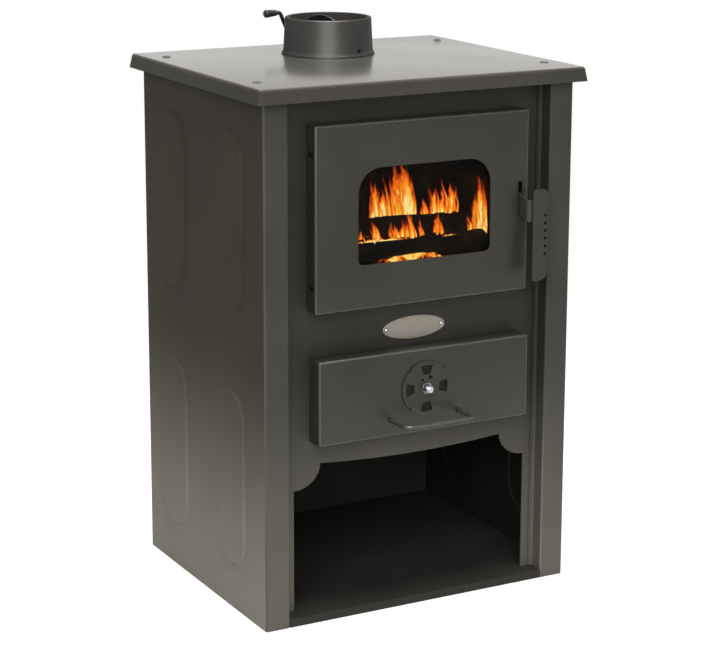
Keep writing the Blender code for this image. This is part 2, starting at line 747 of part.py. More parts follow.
def top_rail(name, side):
    """Angle inside the casing that the cooking top is screwed to."""
    corners = [
        (-INNER_HALF_WIDTH, BEHIND_PANEL, CASING_TOP - TOP_RAIL_LEG),
        (-INNER_HALF_WIDTH, BEHIND_PANEL, CASING_TOP),
        (-INNER_HALF_WIDTH + TOP_RAIL_LEG, BEHIND_PANEL, CASING_TOP),
    ]
    reach = (0, BACK_PANEL_FRONT - SEAT_GAP - BEHIND_PANEL, 0)
    rail = folded_sheet(name, mirrored(corners, side), reach, SHEET, RAW_STEEL)
    holes = bmesh.new()
    for x, y in screw_places():
        if x * side > 0:
            ends = (x, y, CASING_TOP - TOP_RAIL_LEG), (x, y, STOVE_HEIGHT)
            add_cylinder(holes, *ends, TOP_SCREW_RADIUS + SEAT_GAP, 12)
    cut(rail, holes)


def top_screw(number, x, y):
    seat = SEAT_GAP
    dome = [(TOP_SCREW_HEAD_RADIUS * math.sin(a), seat + TOP_SCREW_HEAD_HEIGHT * math.cos(a))
            for a in (math.radians(15 * i) for i in range(7))]
    profile = dome[:-1] + [(TOP_SCREW_HEAD_RADIUS, seat), (TOP_SCREW_RADIUS, seat),
                           (TOP_SCREW_RADIUS, -TOP_SCREW_LENGTH), (0, -TOP_SCREW_LENGTH)]
    turned(f"top_screw_{number}", profile, (x, y, STOVE_HEIGHT), (0, 0, 1), RAW_STEEL, steps=12)


def damper_axes():
    heading = math.radians(DAMPER_HEADING)
    back = Vector((math.cos(heading), math.sin(heading), 0))
    left = Vector((-back.y, back.x, 0))
    return back, left


def flue_collar():
    """Cast ring with a thin foot, a wall that leans in and a rounded rim, over a spigot."""
    wall, rim = COLLAR_WALL, COLLAR_RIM_RADIUS
    height = COLLAR_HEIGHT
    inner = arc((rim - wall + COLLAR_EDGE, height - COLLAR_EDGE), COLLAR_EDGE, 180, 90, 2)
    shoulder = inner + arc((rim - COLLAR_SHOULDER, height - COLLAR_SHOULDER), COLLAR_SHOULDER, 90, 0, 4)
    spigot = COLLAR_BASE_RADIUS - wall / 2
    outer = [
        (COLLAR_BASE_RADIUS, COLLAR_FOOT_HEIGHT), (COLLAR_FOOT_RADIUS, COLLAR_FOOT_HEIGHT),
        (COLLAR_FOOT_RADIUS, SEAT_GAP), (spigot, SEAT_GAP), (spigot, -COLLAR_SPIGOT),
        (rim - wall, -COLLAR_SPIGOT),
    ]
    start = (COLLAR_X, COLLAR_Y, STOVE_HEIGHT)
    collar = turned("flue_collar", shoulder + outer, start, (0, 0, 1), CAST_IRON, steps=40, closed=True)
    back, _ = damper_axes()
    centre = Vector((COLLAR_X, COLLAR_Y, DAMPER_Z))
    holes = bmesh.new()
    ends = centre - back * 2 * COLLAR_FOOT_RADIUS, centre + back * 2 * COLLAR_FOOT_RADIUS
    add_cylinder(holes, *ends, SPINDLE_RADIUS + HINGE_CLEARANCE, 16)
    cut(collar, holes)


def damper(frame):
    back, left = damper_axes()
    centre = Vector((COLLAR_X, COLLAR_Y, DAMPER_Z))
    up = Vector((0, 0, 1))
    behind = centre + back * SPINDLE_BACK_REACH
    knee = behind + left * SPINDLE_CRANK_OUT + up * SPINDLE_CRANK_UP
    tip = knee + left * SPINDLE_END_LENGTH
    corners = [centre - back * (COLLAR_BASE_RADIUS - 2 * SHEET), behind, knee, tip]
    wire("damper_lever", fillet_path(corners, 2 * SPINDLE_RADIUS, 5), SPINDLE_RADIUS, RAW_STEEL, frame)

    tilt = math.radians(DAMPER_TILT)
    edge = left * math.cos(tilt) + up * math.sin(tilt)
    normal = back.cross(edge)
    sleeve_radius = SPINDLE_RADIUS + HINGE_CLEARANCE + DAMPER_SLEEVE_WALL
    disc = add_cylinder(
        bmesh.new(), centre - normal * DAMPER_PLATE_SHEET / 2, centre + normal * DAMPER_PLATE_SHEET / 2,
        DAMPER_PLATE_RADIUS, 48)
    disc = add_object("damper_plate", disc, RAW_STEEL, frame)
    half = back * DAMPER_SLEEVE_LENGTH / 2
    join(disc, add_cylinder(bmesh.new(), centre - half, centre + half, sleeve_radius, 16), frame)
    cut(disc, add_cylinder(bmesh.new(), centre - back * DAMPER_PLATE_RADIUS * 2,
                           centre + back * DAMPER_PLATE_RADIUS * 2, SPINDLE_RADIUS + SEAT_GAP, 16), frame)

    dome = [(GRIP_RADIUS * math.sin(a), GRIP_LENGTH - GRIP_RADIUS * (1 - math.cos(a)) * 0.6)
            for a in (math.radians(18 * i) for i in range(6))]
    bore, depth = SPINDLE_RADIUS + SEAT_GAP, GRIP_LENGTH * 0.75
    profile = dome + [(GRIP_NECK_RADIUS, 0), (bore, 0), (bore, depth), (0, depth)]
    start = tip - left * (depth - SEAT_GAP)
    turned("damper_grip", profile, start, left, RAW_STEEL, frame, steps=16)


# Front panel plate and rivets

def badge():
    rim = circle((BADGE_X, BADGE_Z), BADGE_WIDTH / 2, 48, BADGE_HEIGHT / 2)
    centres = [(BADGE_X + s * BADGE_RIVET_SPACING / 2, BADGE_Z) for s in (-1, 1)]
    holes = [circle(c, RIVET_RADIUS + SEAT_GAP, 10) for c in centres]
    low = PANEL_FRONT - SEAT_GAP - BADGE_SHEET
    plate("badge_plate", [rim] + holes, low, low + BADGE_SHEET, BRUSHED_PLATE)
    length = BADGE_SHEET + SHEET + 3 * SEAT_GAP
    dome = [(RIVET_HEAD_RADIUS * math.sin(a), RIVET_HEAD_HEIGHT * math.cos(a))
            for a in (math.radians(22.5 * i) for i in range(5))]
    profile = dome[:-1] + [(RIVET_HEAD_RADIUS, 0), (RIVET_RADIUS, 0), (RIVET_RADIUS, -length), (0, -length)]
    for name, (x, z) in zip(("left", "right"), centres):
        turned(f"badge_rivet_{name}", profile, (x, low - SEAT_GAP, z), (0, -1, 0), ZINC, steps=10)


# Firebox

def firebox_shell():
    corners = [
        (-SHELL_HALF_WIDTH, BEHIND_PANEL, SHELL_BOTTOM), (-SHELL_HALF_WIDTH, SHELL_BACK, SHELL_BOTTOM),
        (SHELL_HALF_WIDTH, SHELL_BACK, SHELL_BOTTOM), (SHELL_HALF_WIDTH, BEHIND_PANEL, SHELL_BOTTOM),
    ]
    up = (0, 0, CASING_TOP - SHELL_BOTTOM)
    folded_sheet("firebox_shell", list(reversed(corners)), up, SHEET, RAW_STEEL, bend=BEND_RADIUS + SHEET)


def firebox_floor():
    low = (-SHELL_INNER, BEHIND_PANEL, FIREBOX_FLOOR - FLOOR_LIP)
    high = (SHELL_INNER, SHELL_BACK_INNER, FIREBOX_FLOOR)
    floor = sheet_pan("firebox_floor", low, high, (0, 0, -1), SHEET, BEND_RADIUS, RAW_STEEL)
    half_x, half_y = GRATE_WIDTH / 2 - GRATE_LEDGE, GRATE_DEPTH / 2 - GRATE_LEDGE
    hole = add_box(bmesh.new(), (-half_x, GRATE_Y - half_y, FIREBOX_FLOOR - FLOOR_LIP),
                   (half_x, GRATE_Y + half_y, FIREBOX_FLOOR + FLOOR_LIP))
    cut(floor, hole)


def fire_grate():
    half_x, half_y = GRATE_WIDTH / 2, GRATE_DEPTH / 2
    rim = rounded_rectangle(-half_x, half_x, GRATE_Y - half_y, GRATE_Y + half_y, [0.008] * 4, 3)
    slots = []
    pitch = (GRATE_WIDTH - GRATE_SLOT_WIDTH) / GRATE_SLOTS
    radius = GRATE_SLOT_WIDTH / 2
    for i in range(GRATE_SLOTS):
        x = (i - (GRATE_SLOTS - 1) / 2) * pitch
        for side in (-1, 1):
            y = GRATE_Y + side * (GRATE_SLOT_LENGTH / 2 + radius)
            half = GRATE_SLOT_LENGTH / 2
            slots.append(rounded_rectangle(x - radius, x + radius, y - half, y + half, [radius * 0.9] * 4, 2))
    seat = FIREBOX_FLOOR + SEAT_GAP
    plate("fire_grate", [rim] + slots, seat, seat + GRATE_THICKNESS, CAST_IRON, facing="Z")


def brick(name, low, high):
    block = add_object(name, add_box(bmesh.new(), low, high), FIREBRICK, smooth=False)
    bevel = block.modifiers.new("chamfer", "BEVEL")
    bevel.width = BRICK_CHAMFER
    bevel.segments = 1


def firebricks():
    bottom = FIREBOX_FLOOR + SEAT_GAP
    top = bottom + BRICK_HEIGHT
    rear = SHELL_BACK_INNER - BRICK_THICKNESS
    inner = SHELL_INNER - BRICK_THICKNESS
    front = PANEL_FRONT + BRICK_INSET_FRONT
    brick("firebrick_left", (-SHELL_INNER, front, bottom), (-inner, rear - SEAT_GAP, top))
    brick("firebrick_right", (inner, front, bottom), (SHELL_INNER, rear - SEAT_GAP, top))
    brick("firebrick_back", (-SHELL_INNER, rear, bottom), (SHELL_INNER, SHELL_BACK_INNER, top))


def baffle():
    """Sloping smoke plate, higher at the front, on an angle along each side wall."""
    slope = math.radians(BAFFLE_SLOPE)
    forward = Vector((0, -math.cos(slope), math.sin(slope)))
    up = Vector((0, math.sin(slope), math.cos(slope)))
    rear = Vector((0, SHELL_BACK_INNER - 2 * BAFFLE_SHEET, BAFFLE_BACK_Z))
    bm = bmesh.new()
    bmesh.ops.create_cube(bm, size=1)
    size = Matrix.Diagonal((2 * SHELL_INNER, BAFFLE_LENGTH, BAFFLE_SHEET, 1))
    tilt = Matrix((Vector((1, 0, 0)), -forward, up)).transposed().to_4x4()
    middle = rear + forward * BAFFLE_LENGTH / 2 + up * BAFFLE_SHEET / 2
    bm.transform(Matrix.Translation(middle) @ tilt @ size)
    add_object("baffle_plate", bm, RAW_STEEL, smooth=False)
    for name, side in (("left", -1), ("right", 1)):
        seat = rear - up * SEAT_GAP
        corners = [
            (-SHELL_INNER, seat.y, seat.z - LEDGE_LEG), (-SHELL_INNER, seat.y, seat.z),
            (-SHELL_INNER + LEDGE_WIDTH, seat.y, seat.z),
        ]
        start = [Vector(c) + forward * BAFFLE_LENGTH for c in corners]
        corners = mirrored([tuple(c) for c in start], side)
        folded_sheet(f"baffle_ledge_{name}", corners, -forward * BAFFLE_LENGTH, SHEET, RAW_STEEL)


def ash_runner(name, side):
    """Z-shaped strip: the ash box slides on its foot, and its leg is welded to the firebox shell."""
    web = ASH_BOX_HALF_WIDTH + RUNNER_SIDE_CLEARANCE
    seat = ASH_BOX_BOTTOM - SEAT_GAP
    y = BEHIND_PANEL
    corners = [
        (-SHELL_INNER, y, seat + RUNNER_WEB - RUNNER_LEG), (-SHELL_INNER, y, seat + RUNNER_WEB),
        (-web, y, seat + RUNNER_WEB), (-web, y, seat), (-web + RUNNER_SEAT_WIDTH, y, seat),
    ]
    reach = (0, ASH_BOX_REAR - BEHIND_PANEL, 0)
    folded_sheet(name, mirrored(corners, side), reach, RUNNER_SHEET, RAW_STEEL)


# Fire door

def door_pan(frame):
    low = (DOOR_LEFT, DOOR_FACE, DOOR_BOTTOM)
    high = (DOOR_RIGHT, DOOR_REAR, DOOR_TOP)
    pan = sheet_pan("door_pan", low, high, (0, 1, 0), SHEET, DOOR_BEND, PAINT, frame)
    radii = [WINDOW_BOTTOM_RADIUS] * 2 + [WINDOW_TOP_RADIUS] * 2
    window = rounded_rectangle(WINDOW_LEFT, WINDOW_RIGHT, WINDOW_BOTTOM, WINDOW_TOP, radii, 8)
    half = SLOT_WIDTH / 2
    slot = rounded_rectangle(LATCH_X - half, LATCH_X + half, SLOT_BOTTOM, SLOT_TOP, [0.001] * 4, 1)
    cut(pan, plate_bmesh([window, slot], DOOR_FACE - SHEET, DOOR_INNER + SHEET), frame)
    notches = bmesh.new()
    for z in (HINGE_UPPER_Z, HINGE_LOWER_Z):
        low = (DOOR_LEFT - SHEET, HINGE_Y - HINGE_LEAF_WIDTH, z - HINGE_LEAF_THICKNESS - HINGE_NOTCH_CLEARANCE)
        high = (DOOR_LEFT + 2 * SHEET, DOOR_REAR + SHEET, z + HINGE_NOTCH_CLEARANCE)
        add_box(notches, low, high)
    cut(pan, notches, frame)


def window_glass(frame):
    left, right = WINDOW_LEFT - GLASS_MARGIN, WINDOW_RIGHT + GLASS_MARGIN
    bottom, top = WINDOW_BOTTOM - GLASS_MARGIN, WINDOW_TOP + GLASS_MARGIN
    rim = rounded_rectangle(left, right, bottom, top, [0.006] * 4, 2)
    setback = GLASS_TAPE_SETBACK
    radii = [WINDOW_BOTTOM_RADIUS] * 2 + [WINDOW_TOP_RADIUS] * 2
    inner = rounded_rectangle(WINDOW_LEFT - setback, WINDOW_RIGHT + setback,
                              WINDOW_BOTTOM - setback, WINDOW_TOP + setback, radii, 4)
    plate("glass_tape", [rim, inner], DOOR_SEAT, DOOR_SEAT + GLASS_TAPE, GLASS_FIBRE, frame)
    glass_front = DOOR_SEAT + GLASS_TAPE + SEAT_GAP
    plate("window_glass", [rim], glass_front, glass_front + GLASS_THICKNESS, CERAMIC_GLASS, frame)
    tongue = glass_front + GLASS_THICKNESS + SEAT_GAP
    edge = top + CLIP_EDGE_CLEARANCE
    glass_clip("glass_clip_top", (1, 2), edge, edge + CLIP_FOOT, edge - CLIP_TONGUE, tongue, frame)
    edge = bottom - CLIP_EDGE_CLEARANCE
    glass_clip("glass_clip_bottom", (3, 4), edge, edge - CLIP_FOOT, edge + CLIP_TONGUE, tongue, frame)


def glass_clip(name, numbers, edge, foot_end, tongue_end, tongue, frame):
    """A Z-shaped strip on the door's inner face that presses on the glass, on two studs."""
    middle = (WINDOW_LEFT + WINDOW_RIGHT) / 2
    left = middle - CLIP_LENGTH / 2
    corners = [(left, DOOR_SEAT, foot_end), (left, DOOR_SEAT, edge), (left, tongue, edge), (left, tongue, tongue_end)]
    clip = folded_sheet(name, corners, (CLIP_LENGTH, 0, 0), CLIP_SHEET, RAW_STEEL, frame, bend=CLIP_BEND)
    if foot_end < edge:
        clip.data.flip_normals()
    height = foot_end * 0.55 + edge * 0.45
    seat = DOOR_SEAT + CLIP_SHEET + SEAT_GAP
    holes = bmesh.new()
    for number, x in zip(numbers, (middle - STUD_SPACING / 2, middle + STUD_SPACING / 2)):
        ends = (x, DOOR_FACE, height), (x, seat + SHEET, height)
        add_cylinder(holes, *ends, STUD_RADIUS + SEAT_GAP, 10)
        nut = add_cylinder(bmesh.new(), (x, seat, height), (x, seat + STUD_NUT_HEIGHT, height), STUD_NUT_RADIUS, 6)
        nut = add_object(f"glass_stud_{number}", nut, ZINC, frame)
        ends = (x, DOOR_SEAT, height), (x, seat + 1.4 * STUD_NUT_HEIGHT, height)
        join(nut, add_cylinder(bmesh.new(), *ends, STUD_RADIUS, 10), frame)
    cut(clip, holes, frame)


def rope_path():
    left, right = DOOR_LEFT + ROPE_INSET_LEFT, DOOR_RIGHT - ROPE_INSET_RIGHT
    bottom, top = DOOR_BOTTOM + ROPE_INSET_BOTTOM, DOOR_TOP - ROPE_INSET_TOP
    outline = rounded_rectangle(left, right, bottom, top, [ROPE_CORNER_RADIUS] * 4, 5)
    return [(x, ROPE_Y, z) for x, z in outline]


def door_seal(frame):
    """Square bar frame on the door's inner face with a groove, and the rope that lies in it."""
    left, right = DOOR_LEFT + ROPE_INSET_LEFT, DOOR_RIGHT - ROPE_INSET_RIGHT
    bottom, top = DOOR_BOTTOM + ROPE_INSET_BOTTOM, DOOR_TOP - ROPE_INSET_TOP
    half = CHANNEL_WIDTH / 2
    outer = rounded_rectangle(left - half, right + half, bottom - half, top + half,
                              [ROPE_CORNER_RADIUS + half] * 4, 5)
    inner = rounded_rectangle(left + half, right - half, bottom + half, top - half,
                              [ROPE_CORNER_RADIUS - half] * 4, 5)
    channel = plate("seal_channel", [outer, inner], DOOR_SEAT, ROPE_Y - SEAT_GAP, RAW_STEEL, frame)
    cut(channel, tube_bmesh(rope_path(), ROPE_RADIUS + SEAT_GAP, cyclic=True), frame)
    wire("rope_seal", rope_path(), ROPE_RADIUS, GLASS_FIBRE, frame, cyclic=True)


def door_hinge(name, z, frame):
    """A leaf on the front panel with an upright pin, and the door's knuckle standing on it."""
    half = HINGE_LEAF_WIDTH / 2
    low = (HINGE_X - half, HINGE_Y - half - SHEET / 2, z - HINGE_LEAF_THICKNESS)
    high = (HINGE_X + half, PANEL_FRONT - SEAT_GAP, z)
    leaf = add_object(f"hinge_leaf_{name}", add_box(bmesh.new(), low, high), RAW_STEEL, smooth=False)
    ends = (HINGE_X, HINGE_Y, z - 2 * HINGE_LEAF_THICKNESS), (HINGE_X, HINGE_Y, z + HINGE_LEAF_THICKNESS)
    cut(leaf, add_cylinder(bmesh.new(), *ends, HINGE_PIN_RADIUS + SEAT_GAP, 16))
    bottom = z - HINGE_LEAF_THICKNESS - SEAT_GAP
    length = HINGE_LEAF_THICKNESS + KNUCKLE_LENGTH + 2 * SEAT_GAP
    pin, head = HINGE_PIN_RADIUS, HINGE_PIN_RADIUS * 1.5
    profile = [(0, length), (pin * 0.7, length), (pin, length - pin * 0.4), (pin, 0), (head, 0),
               (head, -0.0015), (0, -0.0015)]
    turned(f"hinge_pin_{name}", profile, (HINGE_X, HINGE_Y, bottom), (0, 0, 1), RAW_STEEL, steps=16)
    bore = HINGE_PIN_RADIUS + HINGE_CLEARANCE
    profile = [(bore, KNUCKLE_LENGTH), (KNUCKLE_RADIUS, KNUCKLE_LENGTH), (KNUCKLE_RADIUS, 0), (bore, 0)]
    start = (HINGE_X, HINGE_Y, z + SEAT_GAP)
    turned(f"hinge_knuckle_{name}", profile, start, (0, 0, 1), RAW_STEEL, frame, steps=16, closed=True)


# Door latch

def latch_bracket(frame):
    half = LATCH_BRACKET_WIDTH / 2
    rear, bottom, top = DOOR_REAR - SHEET, SLOT_BOTTOM - LEVER_HEIGHT, LATCH_Z + 0.011
    corners = [
        (LATCH_X - half, rear, bottom), (LATCH_X - half, DOOR_SEAT, bottom),
        (LATCH_X + half, DOOR_SEAT, bottom), (LATCH_X + half, rear, bottom),
    ]
    bracket = folded_sheet("latch_bracket", corners, (0, 0, top - bottom), SHEET, RAW_STEEL, frame, bend=0.0025)
    window = add_box(bmesh.new(), (LATCH_X - half + SHEET, DOOR_FACE, SLOT_BOTTOM - SHEET),
                     (LATCH_X + half - SHEET, DOOR_SEAT + 1.5 * SHEET, top + SHEET))
    cut(bracket, window, frame)
    ends = (LATCH_X - 2 * half, LATCH_Y, LATCH_Z), (LATCH_X + 2 * half, LATCH_Y, LATCH_Z)
    cut(bracket, add_cylinder(bmesh.new(), *ends, LATCH_PIN_RADIUS + SEAT_GAP, 16), frame)
    reach = half + SHEET / 2
    pin = LATCH_PIN_RADIUS
    profile = [(0, 2 * reach), (pin, 2 * reach), (pin, 0), (0, 0)]
    turned("latch_pin", profile, (LATCH_X - reach, LATCH_Y, LATCH_Z), (1, 0, 0), RAW_STEEL, frame, steps=16)


def latch_lever(frame):
    """Strip bent at its outer end; seen from the side it hangs from the pin and ends in a nose."""
    left, right = LATCH_X - LEVER_THICKNESS / 2, LATCH_X + LEVER_THICKNESS / 2
    nose_end = PANEL_BACK + 0.012
    bottom, top = KEEPER_SLOT_BOTTOM - LEVER_HEIGHT, SLOT_TOP
    corners = [(left, nose_end, bottom), (left, LEVER_END, bottom), (left + LEVER_TAB_WIDTH, LEVER_END, bottom)]
    lever = folded_sheet("latch_lever", corners, (0, 0, top - bottom), LEVER_THICKNESS, PAINT, frame, bend=0.0045)
    neck = KEEPER_SLOT_TOP - 0.0008
    outline = [
        (nose_end, neck - 0.012), (nose_end, neck), (PANEL_BACK + 0.003, neck), (PANEL_BACK + 0.002, neck - 0.004),
        (DOOR_REAR, neck - 0.004), (LATCH_Y + 0.002, LEVER_BOTTOM + LEVER_HEIGHT),
        (DOOR_FACE, LEVER_BOTTOM + LEVER_HEIGHT), (LEVER_END - SHEET, LEVER_BOTTOM + LEVER_HEIGHT - LEVER_DROP),
        (LEVER_END - SHEET, LEVER_BOTTOM - LEVER_DROP), (DOOR_FACE, LEVER_BOTTOM),
        (LATCH_Y, LEVER_BOTTOM + 0.003), (DOOR_REAR, neck - 0.012),
    ]
    side = plate_bmesh([outline], left - 0.01, left + 2 * LEVER_TAB_WIDTH, facing="X")
    boolean(lever, add_cutter("latch_lever_shape", side, frame), "INTERSECT")
    ends = (left - 0.01, LATCH_Y, LATCH_Z), (right + 0.01, LATCH_Y, LATCH_Z)
    cut(lever, add_cylinder(bmesh.new(), *ends, LATCH_PIN_RADIUS + HINGE_CLEARANCE, 16), frame)


def handle_plate(frame):
    left = LATCH_X - LEVER_THICKNESS / 2 + HANDLE_PLATE_LEFT
    right = left + HANDLE_PLATE_WIDTH
    radii = [0.003, 0.013, 0.010, 0.006]
    rim = rounded_rectangle(left, right, HANDLE_PLATE_BOTTOM, HANDLE_PLATE_TOP, radii, 5)
    holes = [circle((right - HANDLE_HOLE_EDGE, HANDLE_HOLE_TOP - i * HANDLE_HOLE_PITCH), HANDLE_HOLE_RADIUS, 12)
             for i in range(HANDLE_HOLES)]
    rear = LEVER_END - SEAT_GAP
    plate("latch_handle_plate", [rim] + holes, rear - HANDLE_PLATE_THICKNESS, rear, PAINT, frame)


# Ash drawer with its rosette

def port(centre_angle):
    """One port of the rosette as an (x, z) outline."""
    start, end = centre_angle - PORT_HALF_ANGLE, centre_angle + PORT_HALF_ANGLE
    centre = (ROSETTE_X, ROSETTE_Z)
    return arc(centre, PORT_OUTER_RADIUS, start, end, 5) + arc(centre, PORT_INNER_RADIUS, end, start, 3)


def drawer_front(frame):
    low = (DRAWER_LEFT, DRAWER_FACE, DRAWER_BOTTOM)
    high = (DRAWER_RIGHT, DRAWER_REAR, DRAWER_TOP)
    pan = sheet_pan("drawer_front", low, high, (0, 1, 0), SHEET, DOOR_BEND, PAINT, frame)
    ports = [port(PORT_TURN + 360 * i / PORTS) for i in range(PORTS)]
    cut(pan, plate_bmesh(ports, DRAWER_FACE - SHEET, DRAWER_INNER + SHEET), frame)
    holes = bmesh.new()
    front, rear = DRAWER_FACE - SHEET, DRAWER_INNER + SHEET
    add_cylinder(holes, (ROSETTE_X, front, ROSETTE_Z), (ROSETTE_X, rear, ROSETTE_Z), BOLT_RADIUS + SEAT_GAP, 16)
    for side in (-1, 1):
        x = DRAWER_HANDLE_X + side * DRAWER_HANDLE_SPAN / 2
        ends = (x, front, DRAWER_HANDLE_Z), (x, rear, DRAWER_HANDLE_Z)
        add_cylinder(holes, *ends, DRAWER_HANDLE_RADIUS + SEAT_GAP, 12)
    cut(pan, holes, frame)


def ash_box(frame):
    low = (-ASH_BOX_HALF_WIDTH, DRAWER_INNER + SEAT_GAP, ASH_BOX_BOTTOM)
    high = (ASH_BOX_HALF_WIDTH, ASH_BOX_REAR, ASH_BOX_TOP)
    box = sheet_pan("ash_box", low, high, (0, 0, 1), ASH_BOX_SHEET, BEND_RADIUS, RAW_STEEL, frame)
    holes = bmesh.new()
    front, rear = DRAWER_FACE, DRAWER_INNER + 4 * ASH_BOX_SHEET
    add_cylinder(holes, (ROSETTE_X, front, ROSETTE_Z), (ROSETTE_X, rear, ROSETTE_Z), AIR_HOLE_RADIUS, 32)
    for side in (-1, 1):
        x = DRAWER_HANDLE_X + side * DRAWER_HANDLE_SPAN / 2
        ends = (x, front, DRAWER_HANDLE_Z), (x, rear, DRAWER_HANDLE_Z)
        add_cylinder(holes, *ends, DRAWER_HANDLE_RADIUS + 2 * SEAT_GAP, 12)
    cut(box, holes, frame)


def drawer_handle(frame):
    left = DRAWER_HANDLE_X - DRAWER_HANDLE_SPAN / 2
    right = left + DRAWER_HANDLE_SPAN
    out, tail = DRAWER_FACE - DRAWER_HANDLE_REACH, DRAWER_INNER + DRAWER_HANDLE_TAIL
    corners = [(left, tail, DRAWER_HANDLE_Z), (left, out, DRAWER_HANDLE_Z),
               (right, out, DRAWER_HANDLE_Z), (right, tail, DRAWER_HANDLE_Z)]
    points = fillet_path(corners, DRAWER_HANDLE_BEND, 6)
    wire("drawer_handle", points, DRAWER_HANDLE_RADIUS, RAW_STEEL, frame)


def notched_circle(centre, radius, notch_radius, notch_angles):
    """A disc's outline with a small round notch in its rim at each angle."""
    points = []
    clear = math.degrees(notch_radius / radius)
    for angle, following in zip(notch_angles, notch_angles[1:] + [notch_angles[0] + 360]):
        a = math.radians(angle)
        rim = (centre[0] + radius * math.cos(a), centre[1] + radius * math.sin(a))
        points += arc(rim, notch_radius, angle + 270, angle + 90, 6)[1:-1]
        points += arc(centre, radius, angle + clear, following - clear, 12)
    return points


def air_disc(frame):
    centre = (ROSETTE_X, ROSETTE_Z)
    notches = [PORT_TURN + 360 * i / PORTS for i in range(PORTS)]
    rim = notched_circle(centre, DISC_RADIUS, DISC_NOTCH_RADIUS, notches)
    bore = circle(centre, BOLT_RADIUS + BOLT_CLEARANCE, 16)
    ports = [port(360 * i / PORTS) for i in range(PORTS)]
    dots = [circle((ROSETTE_X + 0.0056, ROSETTE_Z + 0.0145), 0.0030, 12, 0.0019),
            circle((ROSETTE_X - 0.0067, ROSETTE_Z + 0.0115), 0.0018, 10)]
    front = DRAWER_FACE - SEAT_GAP - DISC_THICKNESS
    plate("air_disc", [rim, bore] + ports + dots, front, front + DISC_THICKNESS, PAINT, frame)


def ring_piece(name, radius, segments, start, end, bore, material, frame):
    """A washer or nut round the rosette's bolt, between two depths."""
    place = [(ROSETTE_X, y, ROSETTE_Z) for y in (start, end)]
    piece = add_object(name, add_cylinder(bmesh.new(), *place, radius, segments), material, frame)
    through = [(ROSETTE_X, y, ROSETTE_Z) for y in (start - radius, end + radius)]
    cut(piece, add_cylinder(bmesh.new(), *through, bore, 16), frame)


def rosette_bolt(frame):
    washer_rear = DRAWER_FACE - DISC_THICKNESS - 2 * SEAT_GAP
    nut_rear = washer_rear - WASHER_THICKNESS - SEAT_GAP
    tip = nut_rear - NUT_HEIGHT - BOLT_END
    bore = BOLT_RADIUS + SEAT_GAP
    ring_piece("rosette_washer", WASHER_RADIUS, 24, washer_rear - WASHER_THICKNESS, washer_rear, bore, ZINC, frame)
    ring_piece("rosette_nut", NUT_RADIUS, 6, nut_rear - NUT_HEIGHT, nut_rear, bore, ZINC, frame)
    head_seat = DRAWER_INNER + SEAT_GAP
    shank = [(ROSETTE_X, y, ROSETTE_Z) for y in (tip, head_seat + BOLT_HEAD_HEIGHT / 2)]
    bolt = add_object("rosette_bolt", add_cylinder(bmesh.new(), *shank, BOLT_RADIUS, 16), ZINC, frame)
    head = [(ROSETTE_X, y, ROSETTE_Z) for y in (head_seat, head_seat + BOLT_HEAD_HEIGHT)]
    join(bolt, add_cylinder(bmesh.new(), *head, BOLT_HEAD_RADIUS, 6), frame)
    slot = add_box(bmesh.new(), (ROSETTE_X - 2 * BOLT_RADIUS, tip - BOLT_END, ROSETTE_Z - BOLT_SLOT_WIDTH / 2),
                   (ROSETTE_X + 2 * BOLT_RADIUS, tip + BOLT_SLOT_DEPTH, ROSETTE_Z + BOLT_SLOT_WIDTH / 2))
    cut(bolt, slot, frame)


def build_casing():
    side_panel("left_side_panel", -1)
    side_panel("right_side_panel", 1)
    front_panel()
    back_panel()
    base_plate()
    bay_roof()
    badge()


def build_top():
    top_plate()
    top_rail("top_rail_left", -1)
    top_rail("top_rail_right", 1)
    for i, (x, y) in enumerate(screw_places()):
        top_screw(i + 1, x, y)
    flue_collar()
    damper(joint_frame("damper_axis", (COLLAR_X, COLLAR_Y, DAMPER_Z)))


def build_firebox():
    firebox_shell()
    firebox_floor()
    fire_grate()
    firebricks()
    baffle()
    ash_runner("ash_runner_left", -1)
    ash_runner("ash_runner_right", 1)


def build_door():
    door = joint_frame("fire_door_axis", (HINGE_X, HINGE_Y, HINGE_LOWER_Z))
    door_pan(door)
    window_glass(door)
    door_seal(door)
    door_hinge("upper", HINGE_UPPER_Z, door)
    door_hinge("lower", HINGE_LOWER_Z, door)
    latch_bracket(door)
    latch = joint_frame("latch_axis", (LATCH_X, LATCH_Y, LATCH_Z), door)
    latch_lever(latch)
    handle_plate(latch)


def build_drawer():
    drawer = joint_frame("ash_drawer_axis", (ROSETTE_X, DRAWER_FACE, DRAWER_BOTTOM))
    drawer_front(drawer)
    ash_box(drawer)
    drawer_handle(drawer)
    rosette_bolt(drawer)
    air_disc(joint_frame("air_disc_axis", (ROSETTE_X, DRAWER_FACE, ROSETTE_Z), drawer))


build_casing()
build_top()
build_firebox()
build_door()
build_drawer()
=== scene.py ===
"""How the heating stove looks: its finishes, its finer sheet-metal pieces, the fire behind the glass,
a pale studio and the photograph's camera. Lengths are metres, and the front faces -Y."""
import json
import math
from functools import partial

import bmesh
import bpy
from mathutils import Matrix, Vector, noise


